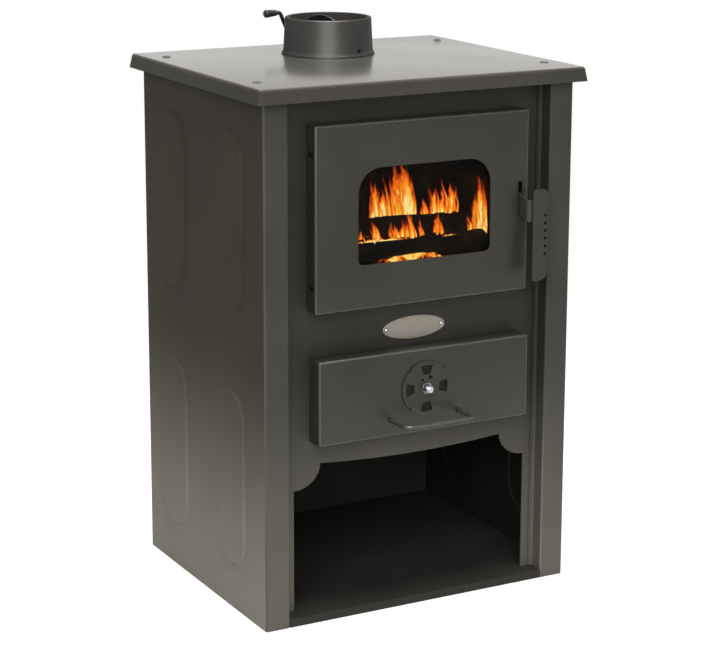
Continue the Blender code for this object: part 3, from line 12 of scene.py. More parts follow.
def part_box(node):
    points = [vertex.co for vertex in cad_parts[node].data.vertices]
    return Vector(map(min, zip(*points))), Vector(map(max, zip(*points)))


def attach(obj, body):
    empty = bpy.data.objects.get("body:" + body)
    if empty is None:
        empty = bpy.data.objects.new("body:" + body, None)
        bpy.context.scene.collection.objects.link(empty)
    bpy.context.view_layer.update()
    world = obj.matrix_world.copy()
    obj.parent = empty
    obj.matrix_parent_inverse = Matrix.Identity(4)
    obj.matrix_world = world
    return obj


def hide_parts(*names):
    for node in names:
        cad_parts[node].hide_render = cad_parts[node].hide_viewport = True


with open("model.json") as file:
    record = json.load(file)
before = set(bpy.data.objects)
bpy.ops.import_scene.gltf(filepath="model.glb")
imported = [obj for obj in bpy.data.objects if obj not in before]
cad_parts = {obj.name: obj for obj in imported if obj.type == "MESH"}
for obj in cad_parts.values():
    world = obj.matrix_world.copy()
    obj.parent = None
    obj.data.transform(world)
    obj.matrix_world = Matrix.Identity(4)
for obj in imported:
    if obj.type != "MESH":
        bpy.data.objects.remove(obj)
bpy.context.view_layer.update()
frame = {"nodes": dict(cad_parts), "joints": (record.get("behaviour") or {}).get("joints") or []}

MM = 0.001


# ---- finishes


def linear(hex_colour):
    """An sRGB hex colour as the linear values that Blender works in."""
    channels = [int(hex_colour[i:i + 2], 16) / 255 for i in (0, 2, 4)]
    return (*[c / 12.92 if c <= 0.04045 else ((c + 0.055) / 1.055) ** 2.4 for c in channels], 1.0)


def set_inputs(node, inputs):
    """Sets inputs by socket name or number: to a value, an sRGB hex colour, another node's output, or a node,
    which stands for its first output in use. From and To take the two limits of a range. A colour mix has its
    share at 0 and its colours at 6 and 7."""
    for socket, value in inputs.items():
        if isinstance(value, bpy.types.Node):
            value = next(output for output in value.outputs if output.enabled)
        if socket in ("From", "To"):
            set_inputs(node, {f"{socket} Min": value[0], f"{socket} Max": value[1]})
        elif isinstance(value, bpy.types.NodeSocket):
            node.id_data.links.new(value, node.inputs[socket])
        else:
            node.inputs[socket].default_value = linear(value) if isinstance(value, str) else value


def with_settings(made, settings):
    for name, value in settings.items():
        setattr(made, name, value)
    return made


def add_node(tree, kind, inputs=None, **named):
    """Adds a node with its numbered and named inputs, and its settings, whose names are in small letters."""
    settings = {name: value for name, value in named.items() if name.islower()}
    made = with_settings(tree.nodes.new(kind), settings)
    set_inputs(made, inputs or {})
    set_inputs(made, {name: value for name, value in named.items() if name not in settings})
    return made


def new_finish(name, **constants):
    """Starts a material. Returns what adds its nodes, the object's own coordinates in metres, and what sets
    the shader's other inputs and hands the material over."""
    material = bpy.data.materials.new(name)
    material.use_nodes = True
    tree = material.node_tree

    def finish(**inputs):
        sockets = {name.replace("_", " "): value for name, value in inputs.items()}
        set_inputs(tree.nodes["Principled BSDF"], sockets)
        return material

    finish(**constants)
    node = partial(add_node, tree)
    return node, node("ShaderNodeTexCoord").outputs["Object"], finish


def sprayed_stove_paint(name, dark, light, roughness, ior=1.45, floor_light=0.0, uneven=0.04):
    """Silicone stove paint sprayed on steel and baked: anthracite, satin, with fine metal flake.
    A pale painted floor light brightens it towards the bottom and fades out 0.38 m up."""
    node, place, finish = new_finish(name, Metallic=0.12, IOR=ior, Specular_Tint="fff6e6")
    # Flake is about 0.05 mm, drawn as 0.8 mm grains so that its faint sparkle shows.
    flake = node("ShaderNodeTexNoise", Vector=place, Scale=1 / (0.8 * MM), Detail=2.0)
    # Overlapping spray passes leave clouds about 110 mm wide.
    passes = node("ShaderNodeTexNoise", Vector=place, Scale=1 / (110 * MM), Detail=3.0)
    both = node("ShaderNodeMath", {0: flake, 1: passes}, operation="ADD")
    spread = node("ShaderNodeMapRange", Value=both, From=(0.7, 1.3))
    coat = node("ShaderNodeMix", {0: spread, 6: dark, 7: light}, data_type="RGBA")
    height = node("ShaderNodeSeparateXYZ", {0: place})
    low_down = node("ShaderNodeMapRange", Value=height.outputs["Z"], From=(0.0, 0.38), To=(floor_light, 0.0),
                    interpolation_type="SMOOTHSTEP")
    patchiness = node("ShaderNodeMapRange", Value=passes, To=(0.85, 1.15))
    floor_light_share = node("ShaderNodeMath", {0: low_down, 1: patchiness}, operation="MULTIPLY")
    # Painted floor light: low down the coat is mixed towards pale b5afa2, in patches that follow the spray
    # passes.
    floor_lit_coat = node("ShaderNodeMix", {0: floor_light_share, 6: coat, 7: "b5afa2"}, data_type="RGBA")
    satin = node("ShaderNodeMapRange", Value=passes, From=(0.3, 0.7),
                 To=(roughness - uneven, roughness + uneven))
    peel = node("ShaderNodeBump", Height=flake, Distance=0.01 * MM, Strength=0.5)
    return finish(Base_Color=floor_lit_coat, Roughness=satin, Normal=peel)


def hot_rolled_steel(name, dark, light, roughness=0.5):
    """Hot-rolled sheet, oiled over its blue-grey mill scale: patchy, dull, slightly metallic."""
    node, place, finish = new_finish(name, Metallic=0.65)
    # Scale breaks up in patches of about 15 mm.
    scale = node("ShaderNodeTexNoise", Vector=place, Scale=1 / (15 * MM), Detail=6.0, Roughness=0.65)
    patch = node("ShaderNodeMapRange", Value=scale, From=(0.35, 0.65))
    tone = node("ShaderNodeMix", {0: patch, 6: dark, 7: light}, data_type="RGBA")
    oil = node("ShaderNodeMapRange", Value=scale, From=(0.3, 0.7), To=(roughness + 0.12, roughness - 0.08))
    skin = node("ShaderNodeBump", Height=scale, Distance=0.05 * MM, Strength=0.4)
    return finish(Base_Color=tone, Roughness=oil, Normal=skin)


def sooted_steel():
    """Firebox sheet under a coat of soot: dead black, with browner patches where it burnt off."""
    node, place, finish = new_finish("sooted_steel", Roughness=0.95)
    # The soot lies and burns off in patches of about 45 mm.
    film = node("ShaderNodeTexNoise", Vector=place, Scale=1 / (45 * MM), Detail=8.0, Roughness=0.7)
    patch = node("ShaderNodeMapRange", Value=film, From=(0.45, 0.72))
    tone = node("ShaderNodeMix", {0: patch, 6: "050404", 7: "110e0c"}, data_type="RGBA")
    flakes = node("ShaderNodeBump", Height=film, Distance=0.4 * MM, Strength=0.6)
    return finish(Base_Color=tone, Normal=flakes)


def sand_cast_iron(name, dark, light, roughness, metallic):
    """Grey iron cast in sand and fettled: a pebbled skin. The tint at its edges is dulled, as they would
    otherwise mirror the white studio in a pale line."""
    node, place, finish = new_finish(name, Metallic=metallic, Roughness=roughness, Specular_Tint="b0b0b0")
    # Moulding sand is about 0.3 mm, drawn as 1.1 mm so that the skin shows. Heat stains are 30 mm wide.
    sand = node("ShaderNodeTexNoise", Vector=place, Scale=1 / (1.1 * MM), Detail=3.0)
    heat = node("ShaderNodeTexNoise", Vector=place, Scale=1 / (30 * MM), Detail=4.0)
    tone = node("ShaderNodeMix", {0: heat, 6: dark, 7: light}, data_type="RGBA")
    skin = node("ShaderNodeBump", Height=sand, Distance=0.06 * MM, Strength=0.6)
    return finish(Base_Color=tone, Normal=skin)


def pressed_fireclay():
    """Firebrick pressed from fireclay and grog: buff and speckled, smoked almost black by use."""
    node, place, finish = new_finish("pressed_fireclay", Roughness=0.92)
    # Grog grains are 2 to 3 mm, and the smoke stains are about 60 mm wide.
    grog = node("ShaderNodeTexVoronoi", Vector=place, Scale=1 / (2.5 * MM))
    speck = node("ShaderNodeMapRange", Value=grog, From=(0.0, 0.5))
    clay = node("ShaderNodeMix", {0: speck, 6: "6e5c45", 7: "8f7b5f"}, data_type="RGBA")
    smoke = node("ShaderNodeTexNoise", Vector=place, Scale=1 / (60 * MM), Detail=6.0)
    stain = node("ShaderNodeMapRange", Value=smoke, From=(0.25, 0.55), To=(0.55, 0.97))
    smoked = node("ShaderNodeMix", {0: stain, 6: clay, 7: "110e0c"}, data_type="RGBA")
    pores = node("ShaderNodeBump", Height=grog, Distance=0.3 * MM, Strength=0.7)
    return finish(Base_Color=smoked, Normal=pores)


def ceramic_window_glass():
    """Rolled glass-ceramic pane, faintly brown and smoked from inside. Its index is set low, so that as in
    the photograph the fire shows and the bright studio doesn't."""
    node, place, finish = new_finish(
        "ceramic_window_glass", Roughness=0.02, IOR=1.12, Transmission_Weight=1.0)
    # Smoke haze lies on it in clouds about 70 mm wide.
    haze = node("ShaderNodeTexNoise", Vector=place, Scale=1 / (70 * MM), Detail=4.0)
    tint = node("ShaderNodeMix", {0: haze, 6: "aaa195", 7: "cdc5b9"}, data_type="RGBA")
    return finish(Base_Color=tint)


def knitted_glass_fibre(name, dark, light):
    """Knitted glass-fibre rope or tape: dull and fuzzy, in loops about 2 mm across."""
    node, place, finish = new_finish(name, Roughness=0.95)
    loops = node("ShaderNodeTexVoronoi", Vector=place, Scale=1 / (1.9 * MM))
    tone = node("ShaderNodeMix", {0: loops, 6: light, 7: dark}, data_type="RGBA")
    knit = node("ShaderNodeBump", Height=loops, Distance=0.5 * MM, Strength=0.8, invert=True)
    return finish(Base_Color=tone, Normal=knit)


def zinc_plated_steel(name, dark, light):
    """Bright zinc on turned and cold-headed steel: cold silver, duller in patches."""
    node, place, finish = new_finish(name, Metallic=1.0)
    # Dull and bright patches of the plating are about 4 mm across.
    marks = node("ShaderNodeTexNoise", Vector=place, Scale=1 / (4 * MM), Detail=2.0)
    tone = node("ShaderNodeMix", {0: marks, 6: dark, 7: light}, data_type="RGBA")
    shine = node("ShaderNodeMapRange", Value=marks, To=(0.16, 0.36))
    return finish(Base_Color=tone, Roughness=shine)


def brushed_nickel_plate():
    """Thin stamped plate, brushed along its length and nickelled: warm grey with long fine lines."""
    node, place, finish = new_finish("brushed_nickel_plate", Metallic=0.9, Roughness=0.36)
    # Brush lines are 0.1 mm apart, drawn at 0.5 mm, and about 25 mm long.
    stretch = node("ShaderNodeMapping", Vector=place, Scale=(1 / (25 * MM), 1 / (0.5 * MM), 1 / (0.5 * MM)))
    lines = node("ShaderNodeTexNoise", Vector=stretch, Scale=1.0, Detail=3.0)
    tone = node("ShaderNodeMix", {0: lines, 6: "736c62", 7: "a29a8f"}, data_type="RGBA")
    scratch = node("ShaderNodeBump", Height=lines, Distance=0.02 * MM, Strength=0.6)
    return finish(Base_Color=tone, Normal=scratch)


def blackened_bar(name, dark, light, roughness):
    """Bar and screws blackened in hot oil or painted: near black with a satin light along them."""
    node, place, finish = new_finish(name, Metallic=0.45, Roughness=roughness)
    # Handling rubs it paler in spots of about 8 mm.
    rub = node("ShaderNodeTexNoise", Vector=place, Scale=1 / (8 * MM), Detail=5.0)
    wear = node("ShaderNodeMapRange", Value=rub, From=(0.35, 0.75))
    tone = node("ShaderNodeMix", {0: wear, 6: dark, 7: light}, data_type="RGBA")
    skin = node("ShaderNodeBump", Height=rub, Distance=0.02 * MM, Strength=0.3)
    return finish(Base_Color=tone, Normal=skin)


def charred_wood():
    """Burning wood: black, checked into blocks, with some of the cracks glowing orange."""
    node, place, finish = new_finish("charred_wood", Roughness=0.95)
    # Char checks into blocks of about 30 mm along the grain and 14 mm across it, under 6 mm specks of ash.
    # The draught fans its cracks in patches of about 38 mm.
    stretch = node("ShaderNodeMapping", Vector=place, Scale=(1 / (30 * MM), 1 / (14 * MM), 1 / (14 * MM)))
    checks = node("ShaderNodeTexVoronoi", Vector=stretch, Scale=1.0, feature="DISTANCE_TO_EDGE")
    ash = node("ShaderNodeTexNoise", Vector=place, Scale=1 / (6 * MM), Detail=6.0)
    tone = node("ShaderNodeMix", {0: ash, 6: "020202", 7: "080605"}, data_type="RGBA")
    crack = node("ShaderNodeMapRange", Value=checks, From=(0.0, 0.05), To=(1.0, 0.0))
    draught = node("ShaderNodeTexNoise", Vector=place, Scale=1 / (38 * MM), Detail=2.0)
    fanned = node("ShaderNodeMapRange", Value=draught, From=(0.62, 0.78))
    heat = node("ShaderNodeMath", {0: crack, 1: fanned}, operation="MULTIPLY")
    glow = node("ShaderNodeMix", {0: heat, 6: "a82c06", 7: "ff8a20"}, data_type="RGBA")
    blocks = node("ShaderNodeBump", Height=checks, Distance=2.0 * MM, Strength=0.8)
    return finish(Base_Color=tone, Normal=blocks, Emission_Color=glow, Emission_Strength=heat)


def glowing_embers(hearth):
    """Bed of embers: grey-black coals 12 mm across under 11 mm drifts of ash, yellow-hot between them round
    the fire's heart."""
    node, place, finish = new_finish("glowing_embers", Roughness=0.95)
    coals = node("ShaderNodeTexVoronoi", Vector=place, Scale=1 / (12 * MM), feature="DISTANCE_TO_EDGE")
    patchiness = node("ShaderNodeTexNoise", Vector=place, Scale=1 / (11 * MM), Detail=5.0)
    tone = node("ShaderNodeMix", {0: patchiness, 6: "0a0706", 7: "33261d"}, data_type="RGBA")
    apart = node("ShaderNodeVectorMath", {0: place, 1: hearth}, operation="SUBTRACT")
    # The hot heart is a flat oval about 140 mm long, 60 mm deep and 28 mm high.
    oval = node("ShaderNodeVectorMath", {0: apart, 1: (1 / 0.070, 1 / 0.030, 1 / 0.014)},
                operation="MULTIPLY")
    away = node("ShaderNodeVectorMath", {0: oval}, operation="LENGTH")
    heart = node("ShaderNodeMapRange", Value=away, From=(0.60, 1.60), To=(1.0, 0.0))
    gap = node("ShaderNodeMapRange", Value=coals, From=(0.0, 0.30), To=(0.35, -0.15))
    stirred = node("ShaderNodeMath", {0: heart, 1: gap}, operation="ADD")
    uneven = node("ShaderNodeMapRange", Value=patchiness, From=(0.3, 0.7), To=(-1.15, 0.45))
    heat = node("ShaderNodeMath", {0: stirred, 1: uneven}, operation="ADD", use_clamp=True)
    colour = node("ShaderNodeValToRGB", Fac=heat)
    stops = colour.color_ramp.elements
    stops[0].position, stops[0].color = 0.12, linear("000000")
    stops[1].position, stops[1].color = 1.0, linear("ffe27a")
    for position, hex_colour in ((0.30, "8c1c04"), (0.55, "f0781a"), (0.78, "ffbe3c")):
        stops.new(position).color = linear(hex_colour)
    lumps = node("ShaderNodeBump", Height=coals, Distance=4.0 * MM, Strength=0.8)
    return finish(Base_Color=tone, Normal=lumps, Emission_Color=colour, Emission_Strength=1.9)


def wood_flame():
    """Flame of a wood fire: yellow-white at its root and core, orange and then red where it licks out.
    Each tongue's UV map runs from side to side and from root to tip."""
    node, place, finish = new_finish(
        "wood_flame", Base_Color="000000", Roughness=1.0, Specular_IOR_Level=0.0, Emission_Strength=1.9)
    over = node("ShaderNodeSeparateXYZ", {0: node("ShaderNodeUVMap").outputs["UV"]})
    # Streaks of hot gas are about 5 mm wide and 34 mm long, and they curl in licks of about 11 mm.
    stretch = node("ShaderNodeMapping", Vector=place, Scale=(1 / (5 * MM), 1 / (5 * MM), 1 / (34 * MM)))
    streak = node("ShaderNodeTexNoise", Vector=stretch, Scale=1.0, Detail=3.0, Distortion=0.6)
    lick = node("ShaderNodeTexNoise", Vector=place, Scale=1 / (11 * MM), Detail=2.0)
    bend = node("ShaderNodeMapRange", Value=lick, To=(-0.55, 0.55))
    higher = node("ShaderNodeMath", {0: bend, 1: over.outputs["Y"]}, operation="MULTIPLY")
    bent = node("ShaderNodeMath", {0: over.outputs["X"], 1: higher}, operation="ADD")
    offset = node("ShaderNodeMath", {0: bent, 1: 0.5}, operation="SUBTRACT")
    side = node("ShaderNodeMath", {0: offset}, operation="ABSOLUTE")
    core = node("ShaderNodeMapRange", Value=side, From=(0.05, 0.48), To=(1.0, 0.0),
                interpolation_type="SMOOTHSTEP")
    rise = node("ShaderNodeMapRange", Value=over.outputs["Y"], From=(0.12, 1.0), To=(1.45, 0.10))
    body = node("ShaderNodeMath", {0: core, 1: rise}, operation="MULTIPLY")
    ragged = node("ShaderNodeMapRange", Value=streak, From=(0.36, 0.62), To=(0.62, 1.12))
    heat = node("ShaderNodeMath", {0: body, 1: ragged}, operation="MULTIPLY", use_clamp=True)
    colour = node("ShaderNodeValToRGB", Fac=heat)
    stops = colour.color_ramp.elements
    stops[0].position, stops[0].color = 0.04, linear("c4300c")
    stops[1].position, stops[1].color = 0.98, linear("fff2a4")
    for position, hex_colour in ((0.30, "ea5c12"), (0.54, "ff8c1c"), (0.76, "ffc236")):
        stops.new(position).color = linear(hex_colour)
    shown = node("ShaderNodeMapRange", Value=heat, From=(0.02, 0.50), interpolation_type="SMOOTHSTEP")
    return finish(Emission_Color=colour, Alpha=shown)


# The sixth value of a paint is how much painted floor light it takes near the bottom.
CASING_PAINT = sprayed_stove_paint("casing_stove_paint", "3d3a33", "47443c", 0.56, 1.08, 0.52)
# Painted light: the post's front faces are a lighter copy of the casing paint on the same sheet.
FRONT_LIT_POST_PAINT = sprayed_stove_paint("front_lit_post_stove_paint", "41403a", "4b4a45", 0.42, 1.15, 0.17)
TOP_PAINT = sprayed_stove_paint("polished_top_stove_paint", "403e39", "464440", 0.21, 1.70, uneven=0.006)
SKIRT_PAINT = sprayed_stove_paint("top_skirt_stove_paint", "3d3b36", "47453f", 0.50, 1.09)
FRONT_PAINT = sprayed_stove_paint("door_and_drawer_stove_paint", "2b2a27", "34332f", 0.36, 1.42, 0.05)
# Painted highlight: folds are painted paler and glossier than the faces beside them.
FOLD_HIGHLIGHT_PAINT = sprayed_stove_paint("fold_highlight_stove_paint", "42413c", "504f49", 0.30)
# Painted shade: the recessed front panel, and the return and landing beside the door, are painted darker than
# the casing.
RECESS_SHADE_PAINT = sprayed_stove_paint("recess_shade_stove_paint", "2b2a28", "353431", 0.45, 1.30, 0.22)
# Undercoat inside the casing, and the painted shade in the rosette's ports.
UNDERCOAT_AND_PORT_SHADE = sprayed_stove_paint("undercoat_and_port_shade", "1f1e1c", "292826", 0.55, 1.20)
BAY_PAINT = sprayed_stove_paint("log_bay_stove_paint", "21201f", "2b2a28", 0.50, 1.25, 0.03)
MILL_SCALE_STEEL = hot_rolled_steel("mill_scale_steel", "1f2022", "35363a")
FOLDED_STEEL = hot_rolled_steel("oiled_folded_steel", "2d2d2e", "46474a", 0.42)
SOOTED_STEEL = sooted_steel()
COLLAR_IRON = sand_cast_iron("sand_cast_collar_iron", "3e3e3c", "494947", 0.42, 1.0)
GRATE_IRON = sand_cast_iron("burnt_grate_iron", "221f1d", "3a3430", 0.70, 0.15)
FIRECLAY = pressed_fireclay()
WINDOW_GLASS = ceramic_window_glass()
ROPE_FIBRE = knitted_glass_fibre("knitted_fibre_rope", "1f1f1f", "55534f")
TAPE_FIBRE = knitted_glass_fibre("woven_fibre_tape", "3a3a39", "8a8782")
ZINC = zinc_plated_steel("bright_zinc_plate", "a5a8ac", "dcdfe1")
DULL_ZINC = zinc_plated_steel("dull_zinc_plate", "5e6063", "8a8d90")
NICKEL = brushed_nickel_plate()
BLACK_BAR = blackened_bar("blackened_damper_bar", "1a1a19", "32312f", 0.38)
PAINTED_BAR = blackened_bar("painted_handle_bar", "45443f", "55534e", 0.22)
PAINTED_SCREW = blackened_bar("painted_top_screw", "33322e", "4a4944", 0.40)
WORN_PAINT = sprayed_stove_paint("worn_latch_paint", "2a2928", "3b3a39", 0.30)
CHAR = charred_wood()
EMBERS = glowing_embers((26 * MM, -118 * MM, 481 * MM))
FLAME = wood_flame()


# ---- places taken from the frame


def low(node):
    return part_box(node)[0]


def high(node):
    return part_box(node)[1]


def centre_of(node):
    return (low(node) + high(node)) / 2


def half_width(node):
    return (high(node).x - low(node).x) / 2


def front_and_rear(node):
    return low(node).y, high(node).y


def joint(name):
    return next(j for j in frame["joints"] if j["name"] == name)


GAP = 0.3 * MM
# How far a cutter stands out of what it cuts.
BEYOND = 10 * MM
SHEET = 2 * MM
FRONT = low("left_side_panel").y
BACK = high("left_side_panel").y
HALF_WIDTH = -low("base_plate").x + SHEET + GAP
CASING_TOP = high("left_side_panel").z
TOP = high("top_plate").z
POST_WIDTH = 36 * MM
POST_INNER = HALF_WIDTH - POST_WIDTH
PANEL_FRONT = low("front_panel").y
LANDING_FRONT = PANEL_FRONT - GAP - SHEET
LANDING_WIDTH = 7 * MM
REAR_FLANGE = 16 * MM
FOLD_RADIUS = 3 * MM
ROSETTE = centre_of("air_disc")
ROSETTE_XZ = (ROSETTE.x, ROSETTE.z)


# ---- ways of making a piece


def in_scene(name, data):
    """A new object in the scene that shows this mesh, lamp or camera."""
    obj = bpy.data.objects.new(name, data)
    bpy.context.scene.collection.objects.link(obj)
    return obj


def keep(name, obj, material, body, replaced=(), sharp_angle=35):
    """Settles an object into a piece that rides on a body and stands for its CAD nodes."""
    mesh = settled(obj, name, sharp_angle)
    mesh.materials.clear()
    mesh.materials.append(material)
    piece = in_scene(name, mesh)
    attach(piece, body)
    if replaced:
        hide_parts(*replaced)
    return piece


def paint_faces(piece, more, choose):
    """Adds more finishes to a piece, and gives each face the one that choose returns for it."""
    finishes = piece.data.materials
    for finish in more:
        finishes.append(finish)
    for face in piece.data.polygons:
        face.material_index = finishes.find(choose(face).name)


def blank(bm, name="blank"):
    mesh = bpy.data.meshes.new(name)
    bm.to_mesh(mesh)
    bm.free()
    return in_scene(name, mesh)


def settled(obj, name, sharp_angle):
    """Applies an object's modifiers, removes it and returns its smooth-shaded mesh."""
    bpy.context.view_layer.update()
    evaluated = obj.evaluated_get(bpy.context.evaluated_depsgraph_get())
    mesh = bpy.data.meshes.new_from_object(evaluated)
    mesh.name = name
    mesh.shade_smooth()
    mesh.set_sharp_from_angle(angle=math.radians(sharp_angle))
    for spent in [obj] + [m.object for m in obj.modifiers if m.type == "BOOLEAN"]:
        bpy.data.objects.remove(spent, do_unlink=True)
    return mesh


def modify(obj, name, kind, **settings):
    with_settings(obj.modifiers.new(name, kind), settings)


def boolean(obj, bm, operation="DIFFERENCE"):
    modify(obj, "cut", "BOOLEAN", operation=operation, solver="EXACT", object=blank(bm, "cutter"))


def broken_edges(obj, width):
    """Breaks the sharp edges of a piece, as a deburring wheel does."""
    modify(obj, "broken_edges", "BEVEL", width=width, segments=2, limit_method="ANGLE",
           angle_limit=math.radians(40), use_clamp_overlap=True)


def box_shape(corner, opposite):
    bm = bmesh.new()
    corner, opposite = Vector(corner), Vector(opposite)
    size = Matrix.Diagonal((*(opposite - corner), 1))
    bmesh.ops.create_cube(bm, size=1, matrix=Matrix.Translation((corner + opposite) / 2) @ size)
    return bm


def rod_shape(start, end, radius, segments):
    bm = bmesh.new()
    start, end = Vector(start), Vector(end)
    along = end - start
    turn = along.to_track_quat("Z", "Y").to_matrix().to_4x4()
    bmesh.ops.create_cone(
        bm, cap_ends=True, segments=segments, radius1=radius, radius2=radius, depth=along.length,
        matrix=Matrix.Translation((start + end) / 2) @ turn)
    return bm


def arc(centre, radius, start, end, steps, radius_v=None):
    """Points from one angle to another in degrees, on a circle or on an oval with its own upright radius."""
    radius_v = radius if radius_v is None else radius_v
    angles = [math.radians(start + (end - start) * i / steps) for i in range(steps + 1)]
    return [(centre[0] + radius * math.cos(a), centre[1] + radius_v * math.sin(a)) for a in angles]


def circle(centre, radius, steps, radius_v=None):
    return arc(centre, radius, 0, 360, steps, radius_v)[:-1]


def rounded_rectangle(left, right, bottom, top, radii, steps):
    """Outline with its own radius at bottom left, bottom right, top right and top left."""
    bl, br, tr, tl = radii
    centres = [(left + bl, bottom + bl), (right - br, bottom + br),
               (right - tr, top - tr), (left + tl, top - tl)]
    outline = []
    for centre, radius, start in zip(centres, radii, (180, 270, 0, 90)):
        outline += arc(centre, radius, start, start + 90, steps)
    return outline


def filleted(corners, radius, steps):
    """An open path through the corners with each inner corner rounded."""
    corners = [Vector(c) for c in corners]
    points = [corners[0]]
    for before, corner, after in zip(corners, corners[1:], corners[2:]):
        back, ahead = (before - corner).normalized(), (after - corner).normalized()
        half = back.angle(ahead) / 2
        centre = corner + (back + ahead).normalized() * (radius / math.sin(half))
        start = corner + back * (radius / math.tan(half)) - centre
        axis = start.cross(corner + ahead * (radius / math.tan(half)) - centre).normalized()
        turn = math.pi - 2 * half
        points += [centre + Matrix.Rotation(turn * i / steps, 3, axis) @ start for i in range(steps + 1)]
    points.append(corners[-1])
    return points


def join_rows(bm, rows, closed=False):
    """Joins each row of vertices to the next by a band of four-sided faces, and returns the faces."""
    faces = []
    for one, two in zip(rows, rows[1:]):
        for i in range(len(one) if closed else len(one) - 1):
            j = (i + 1) % len(one)
            faces.append(bm.faces.new((one[i], one[j], two[j], two[i])))
    return faces


def closed_skin(bm, loops):
    """Joins closed loops of vertices, caps both ends and turns all the faces outwards."""
    join_rows(bm, loops, closed=True)
    bm.faces.new(loops[0])
    bm.faces.new(loops[-1])
    bmesh.ops.recalc_face_normals(bm, faces=bm.faces)


def flat_face(bm, loops):
    """Fills a flat sheet bounded by closed loops of vertices, the first one outside."""
    edges = []
    for loop in loops:
        for a, b in zip(loop, loop[1:] + loop[:1]):
            edges.append(bm.edges.get((a, b)) or bm.edges.new((a, b)))
    bmesh.ops.triangle_fill(bm, use_beauty=True, edges=edges)


def cut_plate(outlines, front, rear):
    """A plate cut to (x, z) outlines, the first one its rim and the others its holes."""
    bm = bmesh.new()
    flat_face(bm, [[bm.verts.new((x, front, z)) for x, z in outline] for outline in outlines])
    bmesh.ops.dissolve_limit(bm, angle_limit=0.01, verts=bm.verts, edges=bm.edges, delimit=set())
    swept = bmesh.ops.extrude_face_region(bm, geom=list(bm.faces))["geom"]
    moved = [g for g in swept if isinstance(g, bmesh.types.BMVert)]
    bmesh.ops.translate(bm, vec=(0, rear - front, 0), verts=moved)
    bmesh.ops.recalc_face_normals(bm, faces=bm.faces)
    return bm


def lathe(profile, start, along, segments, closed=False):
    """A turned solid from (radius, height) points round an axis. A point on the axis closes its end."""
    bm = bmesh.new()
    rings = []
    for radius, height in profile:
        if radius < 0.0001 * MM:
            rings.append([bm.verts.new((0, 0, height))])
        else:
            rings.append([bm.verts.new((radius * math.cos(a), radius * math.sin(a), height))
                          for a in (math.tau * i / segments for i in range(segments))])
    for one, other in list(zip(rings, rings[1:])) + ([(rings[-1], rings[0])] if closed else []):
        for i in range(segments):
            j = (i + 1) % segments
            quad = [one[i % len(one)], one[j % len(one)], other[j % len(other)], other[i % len(other)]]
            corners = list(dict.fromkeys(quad))
            if len(corners) > 2:
                bm.faces.new(corners)
    bmesh.ops.recalc_face_normals(bm, faces=bm.faces)
    turn = Vector(along).to_track_quat("Z", "Y").to_matrix().to_4x4()
    bm.transform(Matrix.Translation(start) @ turn)
    return bm


def bar_shape(points, radius, segments):
    """A round bar bent along a path, its ends slightly chamfered."""
    points = [Vector(p) for p in points]
    first, last = (points[0] - points[1]).normalized(), (points[-1] - points[-2]).normalized()
    chamfer = radius * 0.25
    path = [(points[0], radius - chamfer), (points[0] - first * chamfer, radius)]
    path += [(p, radius) for p in points[1:-1]]
    path += [(points[-1] - last * chamfer, radius), (points[-1], radius - chamfer)]
    bm = bmesh.new()
    rings = []
    reference = None
    for i, (point, reach) in enumerate(path):
        along = (path[min(i + 1, len(path) - 1)][0] - path[max(i - 1, 0)][0]).normalized()
        reference = reference or along.orthogonal().normalized()
        reference = (reference - along * reference.dot(along)).normalized()
        other = along.cross(reference)
        rings.append([bm.verts.new(point + (reference * math.cos(a) + other * math.sin(a)) * reach)
                      for a in (math.tau * k / segments for k in range(segments))])
    closed_skin(bm, rings)
    return bm


def sheet(bm, thickness):
    """A mesh of one face's depth made into sheet metal, thickened inwards."""
    obj = blank(bm)
    modify(obj, "sheet", "SOLIDIFY", thickness=thickness, offset=-1, use_even_offset=True)
    return obj


def folded_pan(corner, opposite, open_side, thickness, fold, flare):
    """A box folded from sheet with one side open, its rim turned out by flare."""
    open_side = Vector(open_side)
    bm = box_shape(corner, opposite)
    bm.normal_update()
    bmesh.ops.delete(bm, geom=[f for f in bm.faces if f.normal.dot(open_side) > 0.9], context="FACES")
    folds = [e for e in bm.edges if not e.is_boundary]
    bmesh.ops.bevel(bm, geom=folds, offset=fold, segments=6, affect="EDGES", profile=0.5)
    middle = (Vector(corner) + Vector(opposite)) / 2
    for vert in {v for e in bm.edges if e.is_boundary for v in e.verts}:
        vert.co.x += math.copysign(flare, vert.co.x - middle.x)
        vert.co.y += math.copysign(flare, vert.co.y - middle.y)
    bm.normal_update()
    return sheet(bm, thickness)


# ---- casing

SWAGE_HALF_WIDTH = 43.5 * MM
SWAGE_HALF_LENGTH = 125.5 * MM
SWAGE_RISE = 3 * MM
SWAGE_SLOPE = 5.5 * MM
SWAGE_Y = (-89.0 * MM, 98.0 * MM)
SWAGE_Z = (186.5 * MM, 539.5 * MM)
# Only the side itself is wider than this.
SWAGED_WIDTH = 200 * MM


def swage(bm, side, centre_y, centre_z):
    """One pressed oval: a soft S-shaped slope up to a flat crown. Returns its outermost loop."""
    steps, rim, crown = 8, 1.0 * MM, 1.5 * MM
    insets = [-rim] + [SWAGE_SLOPE * i / steps for i in range(steps + 1)] + [SWAGE_SLOPE + crown]
    reach = SWAGE_HALF_LENGTH - SWAGE_HALF_WIDTH
    loops = []
    for inset in insets:
        t = min(max(inset / SWAGE_SLOPE, 0), 1)
        x = side * (HALF_WIDTH + SWAGE_RISE * t * t * (3 - 2 * t))
        radius = SWAGE_HALF_WIDTH - inset
        outline = arc((centre_y, centre_z + reach), radius, 0, 180, 24)
        outline += arc((centre_y, centre_z - reach), radius, 180, 360, 24)
        loops.append([bm.verts.new((x, y, z)) for y, z in outline])
    join_rows(bm, loops, closed=True)
    bm.faces.new(loops[-1])
    return loops[0]


